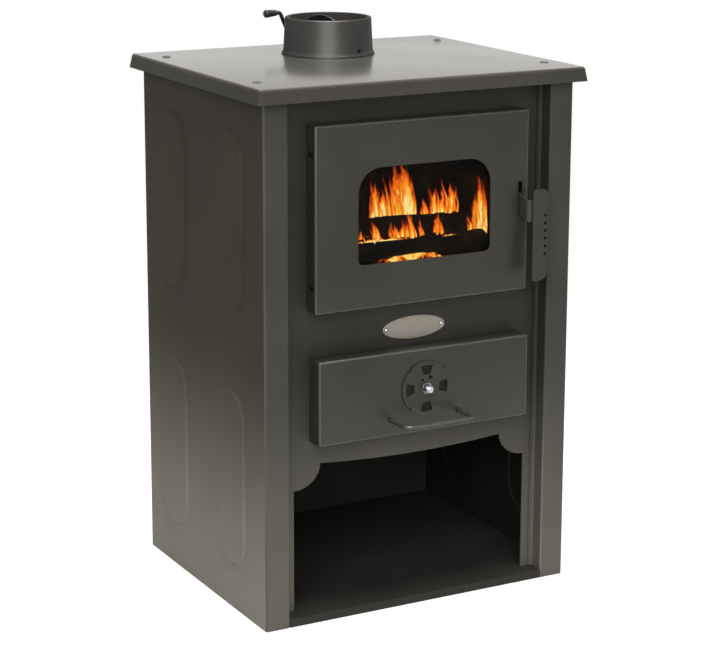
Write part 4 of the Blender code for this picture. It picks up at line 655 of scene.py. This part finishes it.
def side_panel(node, side):
    """Side, post, return and landing folded from one sheet, with four ovals pressed out of the side.
    The post's front faces are painted lighter than the side as painted light, with less painted floor light,
    and its outer fold carries a painted highlight. The inside has undercoat only, and the return and landing
    beside the door carry painted shade."""
    corners = [
        (-HALF_WIDTH + REAR_FLANGE, BACK, 0), (-HALF_WIDTH, BACK, 0), (-HALF_WIDTH, FRONT, 0),
        (-POST_INNER, FRONT, 0), (-POST_INNER, LANDING_FRONT, 0),
        (-POST_INNER + LANDING_WIDTH, LANDING_FRONT, 0),
    ]
    if side > 0:
        corners = [(-x, y, z) for x, y, z in reversed(corners)]
    path = filleted(corners, FOLD_RADIUS, 6)
    bm = bmesh.new()
    foot = [bm.verts.new(p) for p in path]
    head = [bm.verts.new(p + Vector((0, 0, CASING_TOP))) for p in path]
    middle_y = (FRONT + BACK) / 2
    for i in range(len(path) - 1):
        strip = [foot[i], foot[i + 1], head[i + 1], head[i]]
        if (path[i] - path[i + 1]).length > SWAGED_WIDTH:
            flat_face(bm, [strip] + [swage(bm, side, middle_y + y, z) for y in SWAGE_Y for z in SWAGE_Z])
        else:
            bm.faces.new(strip)
    bmesh.ops.recalc_face_normals(bm, faces=bm.faces)
    widest = max(bm.faces, key=lambda f: f.calc_area())
    if widest.normal.x * side < 0:
        bmesh.ops.reverse_faces(bm, faces=bm.faces)
    panel = sheet(bm, SHEET)
    inner, outer = POST_INNER - LANDING_WIDTH - SHEET, POST_INNER + 2 * SHEET + GAP
    left, right = sorted((side * inner, side * outer))
    boolean(panel, box_shape((left, LANDING_FRONT - FOLD_RADIUS, -SHEET),
                             (right, PANEL_FRONT + SHEET, high("base_plate").z + GAP)))
    folded = keep("folded_" + node, panel, CASING_PAINT, "stove", [node])

    def finish_of(face):
        outwards, forwards, from_middle = face.normal.x * side, -face.normal.y, abs(face.center.x)
        if outwards < -0.5 and from_middle > HALF_WIDTH - 2 * SHEET:
            return UNDERCOAT_AND_PORT_SHADE
        # The post's outer fold takes the painted highlight.
        if outwards > 0.3 and 0.3 < forwards < 0.95 and face.center.y < FRONT + FOLD_RADIUS:
            return FOLD_HIGHLIGHT_PAINT
        # The return and landing beside the door take the recess's painted shade.
        if from_middle < POST_INNER + SHEET and face.center.y > FRONT + FOLD_RADIUS:
            return RECESS_SHADE_PAINT
        # Front-facing faces take the lighter, painted-lit post paint.
        return FRONT_LIT_POST_PAINT if forwards > 0.7 else CASING_PAINT

    paint_faces(folded, (FRONT_LIT_POST_PAINT, UNDERCOAT_AND_PORT_SHADE, RECESS_SHADE_PAINT, FOLD_HIGHLIGHT_PAINT), finish_of)


def cooking_top():
    """Top folded from one sheet: soft bend, skirt that flares out, hole for the collar's spigot.
    Stove polish has made the level face glossier than the skirt."""
    flare, thickness, fold, hole, deep = 2.5 * MM, 2.5 * MM, 5 * MM, 61 * MM, 50 * MM
    corner, opposite = low("top_plate"), high("top_plate")
    pan = folded_pan(
        (corner.x + flare, corner.y + flare, corner.z), (opposite.x - flare, opposite.y - flare, TOP),
        (0, 0, -1), thickness, fold, flare)
    collar = centre_of("flue_collar")
    boolean(pan, rod_shape((collar.x, collar.y, TOP - deep), (collar.x, collar.y, TOP + deep), hole, 96))
    top = keep("cooking_top", pan, TOP_PAINT, "stove", ["top_plate"])
    paint_faces(top, [SKIRT_PAINT], lambda face: SKIRT_PAINT if face.normal.z < 0.8 else TOP_PAINT)


def cross_head_screw(number):
    """Pan-head screw with a cross recess, seated in the cooking top."""
    node = f"top_screw_{number}"
    middle, radius = centre_of(node), half_width(node)
    rise, shank, end = 1.2 * MM, 2.0 * MM, low(node).z - TOP
    profile = arc((0, GAP), radius, 90, 0, 12, rise) + [(shank, GAP), (shank, end), (0, end)]
    screw = blank(lathe(profile, (middle.x, middle.y, TOP), (0, 0, 1), 32))
    turn = Matrix.Translation((middle.x, middle.y, TOP + GAP + rise)) @ Matrix.Rotation(0.6 * number, 4, "Z")
    reach, breadth, deep = 2.6 * MM, 0.5 * MM, 0.9 * MM
    for x, y in ((reach, breadth), (breadth, reach)):
        arm = box_shape((-x, -y, -deep), (x, y, deep))
        arm.transform(turn)
        boolean(screw, arm)
    keep("cross_head_" + node, screw, PAINTED_SCREW, "stove", [node])


# ---- flue collar and damper


def cast_collar():
    """Cast ring: thin foot, wall that leans in, rounded rim, spigot through the top, bore in darker iron."""
    middle, rim = centre_of("flue_collar"), high("flue_collar").z - TOP
    end = low("flue_collar").z - TOP
    outer, inner, spigot = 61.2 * MM, 55.7 * MM, 60.6 * MM
    lip_inside, lip_outside, rod_hole, reach = 1.0 * MM, 2.2 * MM, 3.4 * MM, 100 * MM
    profile = arc((inner + lip_inside, rim - lip_inside), lip_inside, 180, 90, 5)
    profile += arc((outer - lip_outside, rim - lip_outside), lip_outside, 90, 0, 8)
    profile += [(63.4 * MM, 7.0 * MM), (63.9 * MM, 4.4 * MM), (64.9 * MM, 3.0 * MM)]
    profile += arc((65.0 * MM, 1.9 * MM), 0.8 * MM, 90, 0, 4)
    profile += [(65.8 * MM, GAP), (spigot, GAP), (spigot, end), (inner, end)]
    ring = blank(lathe(profile, (middle.x, middle.y, TOP), (0, 0, 1), 96, closed=True))
    rod = joint("damper_turn")
    axis, pivot = Vector(rod["axis"]), Vector(rod["pos_m"])
    boolean(ring, rod_shape(pivot - axis * reach, pivot + axis * reach, rod_hole, 24))
    collar = keep("cast_flue_collar", ring, COLLAR_IRON, "stove", ["flue_collar"])

    def finish_of(face):
        # The bore's faces take the darker grate iron.
        outwards = face.center - middle
        inside = face.normal.x * outwards.x + face.normal.y * outwards.y < 0
        return GRATE_IRON if inside else COLLAR_IRON

    paint_faces(collar, [GRATE_IRON], finish_of)


# ---- badge


def oval_badge():
    """Oval plate with a pressed rim round a brushed field, on two bright rivets."""
    middle, (front, rear) = centre_of("badge_plate"), front_and_rear("badge_plate")
    half = (high("badge_plate") - low("badge_plate")) / 2
    field, bm = front + 0.35 * MM, bmesh.new()
    stations = [(0.0, rear), (0.0, front + 0.3 * MM), (0.3 * MM, front), (1.1 * MM, front),
                (1.5 * MM, field), (9.0 * MM, field)]
    loops = []
    for inset, y in stations:
        outline = circle((middle.x, middle.z), half.x - inset, 96, half.z - inset)
        loops.append([bm.verts.new((x, y, z)) for x, z in outline])
    closed_skin(bm, loops)
    plate = blank(bm)
    rivets = ("badge_rivet_left", "badge_rivet_right")
    for node in rivets:
        at = centre_of(node)
        boolean(plate, rod_shape((at.x, front - BEYOND, at.z), (at.x, rear + BEYOND, at.z), 1.5 * MM, 24))
    keep("oval_badge", plate, NICKEL, "stove", ["badge_plate"], 25)
    for node in rivets:
        at, shank = centre_of(node), 1.2 * MM
        rise, end = front - low(node).y, front - high(node).y
        profile = arc((0, 0), half_width(node), 90, 0, 10, rise) + [(shank, 0), (shank, end), (0, end)]
        rivet = blank(lathe(profile, (at.x, front, at.z), (0, -1, 0), 32))
        keep("domed_" + node, rivet, ZINC, "stove", [node])


# ---- ash drawer and its rosette

PORT_INNER, PORT_OUTER, PORT_HALF_ANGLE = 19.5 * MM, 32.0 * MM, 16.5
PORT_ANGLES, NOTCH_ANGLES = (0, 90, 180, 270), (45, 135, 225, 315)


def rosette_port(angle):
    start, end = angle - PORT_HALF_ANGLE, angle + PORT_HALF_ANGLE
    return arc(ROSETTE_XZ, PORT_OUTER, start, end, 12) + arc(ROSETTE_XZ, PORT_INNER, end, start, 8)


def on_axis(y):
    """The point of the rosette's axis at this depth."""
    return ROSETTE.x, y, ROSETTE.z


def air_disc():
    """Disc cut from sheet: four ports, four small grip notches in its rim, two marker holes."""
    (x, z), radius, notch = ROSETTE_XZ, half_width("air_disc"), 2.5 * MM
    clear = math.degrees(notch / radius)
    rim = []
    for angle in NOTCH_ANGLES:
        a = math.radians(angle)
        place = (x + radius * math.cos(a), z + radius * math.sin(a))
        rim += arc(place, notch, angle + 270, angle + 90, 10)[1:-1]
        rim += arc(ROSETTE_XZ, radius, angle + clear, angle + 90 - clear, 24)
    holes = [circle(ROSETTE_XZ, 4.4 * MM, 32)] + [rosette_port(angle) for angle in PORT_ANGLES]
    holes += [circle((x + 5.6 * MM, z + 14.5 * MM), 3.2 * MM, 24, 2.1 * MM),
              circle((x - 6.7 * MM, z + 11.5 * MM), 1.9 * MM, 16)]
    disc = blank(cut_plate([rim] + holes, *front_and_rear("air_disc")))
    broken_edges(disc, 0.35 * MM)
    keep("cut_air_disc", disc, FRONT_PAINT, "air_disc", ["air_disc"])


def port_shade_patch():
    """Dark skin on the drawer's front under the disc: painted shade seen through the disc's ports. Its holes
    are the drawer's ports."""
    face = low("drawer_front").y
    holes = [circle(ROSETTE_XZ, 4.6 * MM, 32)] + [rosette_port(angle + 45) for angle in PORT_ANGLES]
    rim = circle(ROSETTE_XZ, 34.0 * MM, 96)
    skin = blank(cut_plate([rim] + holes, face - 0.12 * MM, face - 0.02 * MM))
    keep("port_shade_patch", skin, UNDERCOAT_AND_PORT_SHADE, "ash_drawer")


def rosette_fastening():
    """Slotted bolt with its thread showing, chamfered hexagon nut and turned washer, all zinc plated: the bolt
    bright, the nut and washer dull.
    """
    bore, chamfer = 4.3 * MM, 0.3 * MM
    (front, rear), outer = front_and_rear("rosette_washer"), half_width("rosette_washer")
    thickness = rear - front
    washer = [(outer - chamfer, 0), (outer, chamfer), (outer, thickness), (bore, thickness), (bore, 0)]
    ring = blank(lathe(washer, on_axis(front), (0, 1, 0), 48, closed=True))
    keep("turned_rosette_washer", ring, DULL_ZINC, "ash_drawer", ["rosette_washer"])

    (front, rear), outer = front_and_rear("rosette_nut"), half_width("rosette_nut")
    nut = blank(rod_shape(on_axis(front), on_axis(rear), outer, 6))
    face, wide = outer * 0.80, outer * 1.15
    cone = lathe([(0, -1 * MM), (face, -1 * MM), (face, 0), (wide, outer * 0.26),
                  (wide, BEYOND), (0, BEYOND)], on_axis(front), (0, 1, 0), 48)
    boolean(nut, cone, "INTERSECT")
    boolean(nut, rod_shape(on_axis(front - BEYOND), on_axis(rear + BEYOND), bore, 32))
    keep("chamfered_rosette_nut", nut, DULL_ZINC, "ash_drawer", ["rosette_nut"], 20)

    tip, end = front_and_rear("rosette_bolt")
    crest, root, head = 4.0 * MM, 3.4 * MM, 5 * MM
    thread = [(0, 0), (3.1 * MM, 0)]
    for turn in range(12):
        start = (0.6 + turn * 1.25) * MM
        thread += [(crest, start), (crest, start + 0.25 * MM), (root, start + 0.75 * MM)]
    neck = end - tip - head
    thread += [(crest, 16.2 * MM), (crest, neck), (0, neck)]
    bolt = blank(lathe(thread, on_axis(tip), (0, 1, 0), 32))
    boolean(bolt, rod_shape(on_axis(end - head), on_axis(end), 7.5 * MM, 6), "UNION")
    (x, z), beyond, deep, half_slot = ROSETTE_XZ, 8 * MM, 1.6 * MM, 0.6 * MM
    boolean(bolt, box_shape((x - beyond, tip - beyond, z - half_slot), (x + beyond, tip + deep, z + half_slot)))
    keep("slotted_rosette_bolt", bolt, ZINC, "ash_drawer", ["rosette_bolt"], 25)


def drawer_handle():
    """Handle bent from painted round bar, its two legs through the drawer's front."""
    corner, opposite = low("drawer_handle"), high("drawer_handle")
    height, radius = (corner.z + opposite.z) / 2, 0.42 * (opposite.z - corner.z)
    left, right, out, end = corner.x + radius, opposite.x - radius, corner.y + radius, opposite.y
    corners = [(left, end, height), (left, out, height), (right, out, height), (right, end, height)]
    bar = blank(bar_shape(filleted(corners, 10 * MM, 12), radius, 24))
    keep("bent_drawer_handle", bar, PAINTED_BAR, "ash_drawer", ["drawer_handle"])


# ---- latch


def lift_plate():
    """Plate that the latch is lifted by: rounded corners, six cooling holes down its outer edge."""
    corner, opposite = low("latch_handle_plate"), high("latch_handle_plate")
    radii = [3 * MM, 13 * MM, 10 * MM, 6 * MM]
    rim = rounded_rectangle(corner.x, opposite.x, corner.z, opposite.z, radii, 12)
    holes = [circle((opposite.x - 4.5 * MM, (533 - 10.6 * i) * MM), 2.2 * MM, 24) for i in range(6)]
    plate = blank(cut_plate([rim] + holes, corner.y, opposite.y))
    broken_edges(plate, 0.5 * MM)
    keep("latch_lift_plate", plate, FRONT_PAINT, "latch", ["latch_handle_plate"])


# ---- fire


def burning_billet(name, start, end, radius, seed, flat_top=0.0):
    """A split, charred billet, thinner at its ends, with an optional flat upper face. Broad bumps change its
    thickness by up to 16 %, and knots by up to 5 %."""
    start, end = Vector(start) * MM, Vector(end) * MM
    along = (end - start).normalized()
    across = along.cross(Vector((0, 0, 1))).normalized()
    up = across.cross(along)
    rings, segments = 22, 28
    bm = bmesh.new()
    loops = []
    for i in range(rings + 1):
        t = i / rings
        middle = start.lerp(end, t)
        pinch = min(1.0, 0.82 + 2.2 * min(t, 1 - t))
        loop = []
        for k in range(segments):
            a = math.tau * k / segments
            bump = noise.noise(Vector((math.cos(a) * 1.3, math.sin(a) * 1.3, t * 5 + seed)))
            knot = noise.noise(Vector((math.cos(a) * 4, math.sin(a) * 4, t * 22 + seed)))
            reach = radius * MM * pinch * (1 + 0.16 * bump + 0.05 * knot)
            lift = min(math.sin(a), 1 - flat_top + 0.02 * knot)
            loop.append(bm.verts.new(middle + across * (math.cos(a) * reach) + up * (lift * reach)))
        loops.append(loop)
    closed_skin(bm, loops)
    keep(name, blank(bm), CHAR, "stove", sharp_angle=50)


def ember_bed():
    """Heap of embers on the grate: 36 mm deep, 57 mm deeper at its heart behind the glass, sloping down to the
    grate all round. Coals make it uneven by up to 6 mm, and crumbs by up to 2.2 mm."""
    columns, rows = 110, 70
    left, right, near, far = -150 * MM, 152 * MM, -136 * MM, 118 * MM
    heart_x, heart_y, heart_width, heart_depth = 24 * MM, -112 * MM, 88 * MM, 46 * MM
    coal, crumb, slope = 13 * MM, 5 * MM, 9
    base = high("fire_grate").z + 1 * MM
    bm = bmesh.new()
    grid = []
    for j in range(rows + 1):
        row = []
        for i in range(columns + 1):
            x, y = left + (right - left) * i / columns, near + (far - near) * j / rows
            fall = min(1, min(i, columns - i) / columns * slope) * min(1, min(j, rows - j) / rows * slope)
            heart = math.exp(-((x - heart_x) / heart_width) ** 2 - ((y - heart_y) / heart_depth) ** 2)
            lumps = noise.noise(Vector((x, y, 0.3)) / coal) * 6.0
            lumps += noise.noise(Vector((x, y, 0.7)) / crumb) * 2.2
            rise = (36 + 57 * heart) * math.sqrt(fall) + lumps * min(1, fall * 2)
            row.append(bm.verts.new((x, y, base + max(rise, 0.2) * MM)))
        grid.append(row)
    join_rows(bm, grid)
    keep("ember_bed", blank(bm), EMBERS, "stove", sharp_angle=60)


# Tongues of flame: root x, z, tip x, z and width at the root, mm.
UPPER_FLAMES = [
    (-14, 526, -11, 572, 20), (-16, 526, -19, 582, 7), (2, 525, -2, 562, 19), (8, 525, 1, 581, 7),
    (17, 525, 9, 581, 8), (27, 524, 15, 598, 22), (38, 524, 30, 601, 28), (44, 524, 45, 577, 15),
    (33, 524, 24, 585, 24), (67, 522, 64, 544, 14), (82, 522, 84, 559, 18), (78, 522, 73, 564, 7),
    (94, 522, 95, 556, 14), (110, 521, 107, 563, 20), (103, 521, 92, 570, 7), (113, 521, 117, 556, 12),
]
LOWER_FLAMES = [
    (-33, 503, -38, 530, 11), (-29, 503, -33, 525, 12), (-7, 503, -9, 524, 8), (1, 502, -3, 521, 12),
    (9, 502, 11, 527, 12), (15, 501, 14, 521, 9), (23, 500, 17, 540, 11), (26, 500, 20, 536, 10),
    (37, 500, 36, 529, 6), (42, 500, 38, 519, 5), (66, 499, 64, 533, 15), (69, 499, 69, 524, 10),
    (-54, 504, -56, 517, 10),
]
RIGHT_FLAMES = [
    (141, 500, 140, 575, 22), (147, 500, 149, 560, 14), (134, 502, 132, 548, 12), (124, 504, 122, 519, 8),
]
# Low, long flames along the upper edge of a billet: start x, z, end x, z, y and height, mm.
EDGE_FLAMES = [
    (-100, 505, 28, 503, -121, 6), (58, 501, 90, 502, -121, 5), (112, 506, 150, 504, -110, 5),
    (-88, 530, -64, 528, -88, 3),
]
# Flames keep 6 mm off the brick on the right.
FLAME_LIMIT = low("firebrick_right").x / MM - 6
# How far a tongue's root lies in its billet, mm.
ROOT_DEPTH = 9
# The sheets of one tongue: offset and width as shares of its width, and height as a share of its height.
TONGUE_SHEETS = ((0.0, 1.0, 1.0), (-0.30, 0.5, 0.72), (0.28, 0.45, 0.86))


def flame_sheet(bm, uv, rows, columns, point, cool=0.0):
    """Adds a sheet whose point function maps side-to-side and root-to-tip fractions to a place. A cool one
    starts part of the way up the flame's colours."""
    grid = [[bm.verts.new(point(i / columns, j / rows)) for i in range(columns + 1)] for j in range(rows + 1)]
    for number, face in enumerate(join_rows(bm, grid)):
        j, i = divmod(number, columns)
        for loop, (a, b) in zip(face.loops, ((i, j), (i + 1, j), (i + 1, j + 1), (i, j + 1))):
            loop[uv].uv = (a / columns, cool + (1 - cool) * b / rows)


def flames(name, tongues, depth, edges=()):
    """Tongues of flame as thin curved sheets, wide at the root, waisted, and drawn out to a tip. Each stands
    in its billet's top, and two narrower ones lick up beside it."""
    bm = bmesh.new()
    uv = bm.loops.layers.uv.new("flame")
    for number, (root_x, root_z, tip_x, tip_z, width) in enumerate(tongues):
        for sheet, (offset, share, height) in enumerate(TONGUE_SHEETS):
            phase = number * 2.4 + sheet * 1.9
            low_z = root_z - ROOT_DEPTH

            # It sways by up to 3 mm, and its middle stands up to 5 mm nearer the glass than its edges.
            def tongue(u, v):
                spread = width * share * 0.60 * (1 - v) ** 0.6 * (1 + 0.30 * math.sin(math.pi * v))
                wave = 3.0 * math.sin(phase) * math.sin(math.pi * 1.7 * v) * v
                x = root_x + width * offset + (tip_x - root_x) * v ** 1.3 + wave + (u - 0.5) * 2 * spread
                x = min(x, FLAME_LIMIT)
                bow = 2.5 * (1 - (2 * u - 1) ** 2) + 2.5 * math.sin(phase) - 5 * v
                return Vector((x, depth - bow + 0.2 * (x - root_x), low_z + (tip_z - low_z) * height * v)) * MM

            flame_sheet(bm, uv, 18, 8, tongue, max(0, (20 - width * share) / 45))
    for x0, z0, x1, z1, y, height in edges:
        def edge(u, v):
            flicker = 0.6 + 0.7 * noise.noise(Vector((u * 23, x0, 0.5)))
            place = Vector((x0 + (x1 - x0) * u, y - 2 * v, z0 + (z1 - z0) * u - 1.5 + height * flicker * v))
            return place * MM

        flame_sheet(bm, uv, 3, 90, edge)
    keep(name, blank(bm), FLAME, "stove", sharp_angle=180)


def fire():
    burning_billet("upper_billet", (-128, -62, 505), (148, -62, 494), 27, 1.3, 0.12)
    burning_billet("lower_billet", (-122, -98, 489), (92, -98, 489), 16.5, 4.1, 0.10)
    burning_billet("left_cross_billet", (-44, -126, 452), (-52, 96, 440), 25, 7.7)
    burning_billet("right_cross_billet", (120, -124, 474), (112, 98, 450), 32, 2.9, 0.15)
    ember_bed()
    flames("upper_flames", UPPER_FLAMES, -68)
    flames("lower_flames", LOWER_FLAMES, -106)
    flames("right_flames", RIGHT_FLAMES, -92)
    flames("edge_flames", (), 0, EDGE_FLAMES)


# ---- CAD solids that stay in view

CARRIED = [
    (RECESS_SHADE_PAINT, "front_panel"),
    (BAY_PAINT, "base_plate", "back_panel"),
    (FRONT_PAINT, "door_pan", "drawer_front"),
    (WORN_PAINT, "latch_lever"),
    (MILL_SCALE_STEEL, "bay_roof", "top_rail_left", "top_rail_right", "ash_runner_left", "ash_runner_right",
     "damper_plate"),
    (SOOTED_STEEL, "firebox_shell", "firebox_floor", "baffle_plate", "baffle_ledge_left", "baffle_ledge_right"),
    (GRATE_IRON, "fire_grate"),
    (FIRECLAY, "firebrick_left", "firebrick_right", "firebrick_back"),
    (BLACK_BAR, "damper_lever", "damper_grip"),
    (FOLDED_STEEL, "hinge_leaf_upper", "hinge_leaf_lower", "hinge_pin_upper", "hinge_pin_lower",
     "hinge_knuckle_upper", "hinge_knuckle_lower", "glass_clip_top", "glass_clip_bottom", "seal_channel",
     "latch_bracket", "latch_pin", "ash_box"),
    (WINDOW_GLASS, "window_glass"),
    (TAPE_FIBRE, "glass_tape"),
    (ROPE_FIBRE, "rope_seal"),
    (ZINC, "glass_stud_1", "glass_stud_2", "glass_stud_3", "glass_stud_4"),
]
HIGHLIGHTED_FOLDS = ("door_pan", "drawer_front")


def carried_solid(node, finish):
    """Gives a CAD solid that stays in view its finish, welded and smooth up to its real edges. The folds round
    the door and the drawer are painted paler and glossier, as a painted highlight."""
    solid = frame["nodes"][node]
    solid.data.materials.clear()
    solid.data.materials.append(finish)
    if node in HIGHLIGHTED_FOLDS:
        paint_faces(solid, [FOLD_HIGHLIGHT_PAINT], lambda face: FOLD_HIGHLIGHT_PAINT if 0.2 < -face.normal.y < 0.97 else finish)
    own_normals = solid.data.attributes.get("custom_normal")
    if own_normals:
        solid.data.attributes.remove(own_normals)
    solid.data.shade_smooth()
    modify(solid, "weld", "WELD", merge_threshold=0.01 * MM)
    modify(solid, "edges", "EDGE_SPLIT", split_angle=math.radians(32))


# ---- studio and camera

# Strength of the soft fill that lights the stove, and of the floor's own white where it is seen.
FILL = 0.10
FLOOR_LIFT = 0.62
# Azimuth, elevation and roll in degrees, and where the camera stands.
CAMERA_ANGLES = (-28.567, 12.715, 0.187)
CAMERA_PLACE = (-1.4152, -2.6039, 1.1144)


def seen_rays(node):
    """1 for rays from the camera and for those that mirror or glass has turned, up to a dull surface."""
    rays = node("ShaderNodeLightPath").outputs
    mirrored = node("ShaderNodeMath", {0: rays["Is Glossy Ray"], 1: rays["Is Transmission Ray"]},
                    operation="MAXIMUM")
    seen = node("ShaderNodeMath", {0: rays["Is Camera Ray"], 1: mirrored}, operation="MAXIMUM")
    unscattered = node("ShaderNodeMath", {0: rays["Diffuse Depth"], 1: 0.5}, operation="LESS_THAN")
    return node("ShaderNodeMath", {0: seen, 1: unscattered}, operation="MULTIPLY")


def white_world():
    """White wherever it is seen, directly or in metal and glass, and a soft fill everywhere else."""
    world = bpy.data.worlds.new("white_studio")
    bpy.context.scene.world = world
    world.use_nodes = True
    world.node_tree.nodes.clear()
    node = partial(add_node, world.node_tree)
    strength = node("ShaderNodeMapRange", Value=seen_rays(node), To=(FILL, 1.0))
    sky = node("ShaderNodeBackground", Color="ffffff", Strength=strength)
    node("ShaderNodeOutputWorld", Surface=sky)


def white_floor():
    """White paper floor that keeps the shadow and fades into the white world well away from the stove."""
    bm = bmesh.new()
    bmesh.ops.create_circle(bm, cap_ends=True, segments=96, radius=9.0)
    floor = blank(bm, "white_floor")
    material = bpy.data.materials.new("white_paper")
    material.use_nodes = True
    material.node_tree.nodes.clear()
    node = partial(add_node, material.node_tree)
    paper = node("ShaderNodeBsdfDiffuse", Color="bebebc")
    lift = node("ShaderNodeMapRange", Value=seen_rays(node), To=(0.0, FLOOR_LIFT))
    glow = node("ShaderNodeEmission", Color="ffffff", Strength=lift)
    lit = node("ShaderNodeAddShader", {0: paper, 1: glow})
    clear = node("ShaderNodeBsdfTransparent")
    place = node("ShaderNodeTexCoord").outputs["Object"]
    away = node("ShaderNodeVectorMath", {0: place}, operation="LENGTH")
    fade = node("ShaderNodeMapRange", Value=away, From=(0.55, 2.2), interpolation_type="SMOOTHSTEP")
    mix = node("ShaderNodeMixShader", {0: fade, 1: lit, 2: clear})
    node("ShaderNodeOutputMaterial", Surface=mix)
    floor.data.materials.append(material)


def softbox(name, place, aim, size, watts, spread=180):
    holder = in_scene(name, bpy.data.lights.new(name, "AREA"))
    with_settings(holder.data, {"size": size, "energy": watts, "spread": math.radians(spread)})
    holder.location = place
    holder.rotation_euler = (Vector(aim) - Vector(place)).to_track_quat("-Z", "Y").to_euler()


def photo_camera():
    """The photograph's viewing angle, from a fit to 45 points of it."""
    azimuth, elevation, roll = (math.radians(angle) for angle in CAMERA_ANGLES)
    holder = in_scene("photo_camera", bpy.data.cameras.new("photo_camera"))
    with_settings(holder.data, {"sensor_width": 36, "lens": 107.69, "shift_y": -0.0909})
    flat = math.cos(elevation)
    forward = Vector((-math.sin(azimuth) * flat, math.cos(azimuth) * flat, -math.sin(elevation)))
    turn = forward.to_track_quat("-Z", "Y").to_matrix().to_4x4() @ Matrix.Rotation(roll, 4, "Z")
    holder.matrix_world = Matrix.Translation(CAMERA_PLACE) @ turn
    bpy.context.scene.camera = holder


side_panel("left_side_panel", -1)
side_panel("right_side_panel", 1)
cooking_top()
for screw_number in (1, 2, 3, 4):
    cross_head_screw(screw_number)
cast_collar()
oval_badge()
air_disc()
port_shade_patch()
rosette_fastening()
drawer_handle()
lift_plate()
fire()
for carried_finish, *carried_nodes in CARRIED:
    for carried_node in carried_nodes:
        carried_solid(carried_node, carried_finish)
white_world()
white_floor()
softbox("overhead_softbox", (0.0, -0.1, 2.7), (0.0, 0.0, 0.0), 1.5, 34, 100)
softbox("front_softbox", (-1.5, -2.7, 1.9), (0.0, 0.0, 0.35), 2.4, 94)
softbox("side_softbox", (3.0, 1.3, 1.6), (0.0, 0.0, 0.35), 2.4, 26)
photo_camera()

bpy.context.scene.view_settings.view_transform = "Standard"
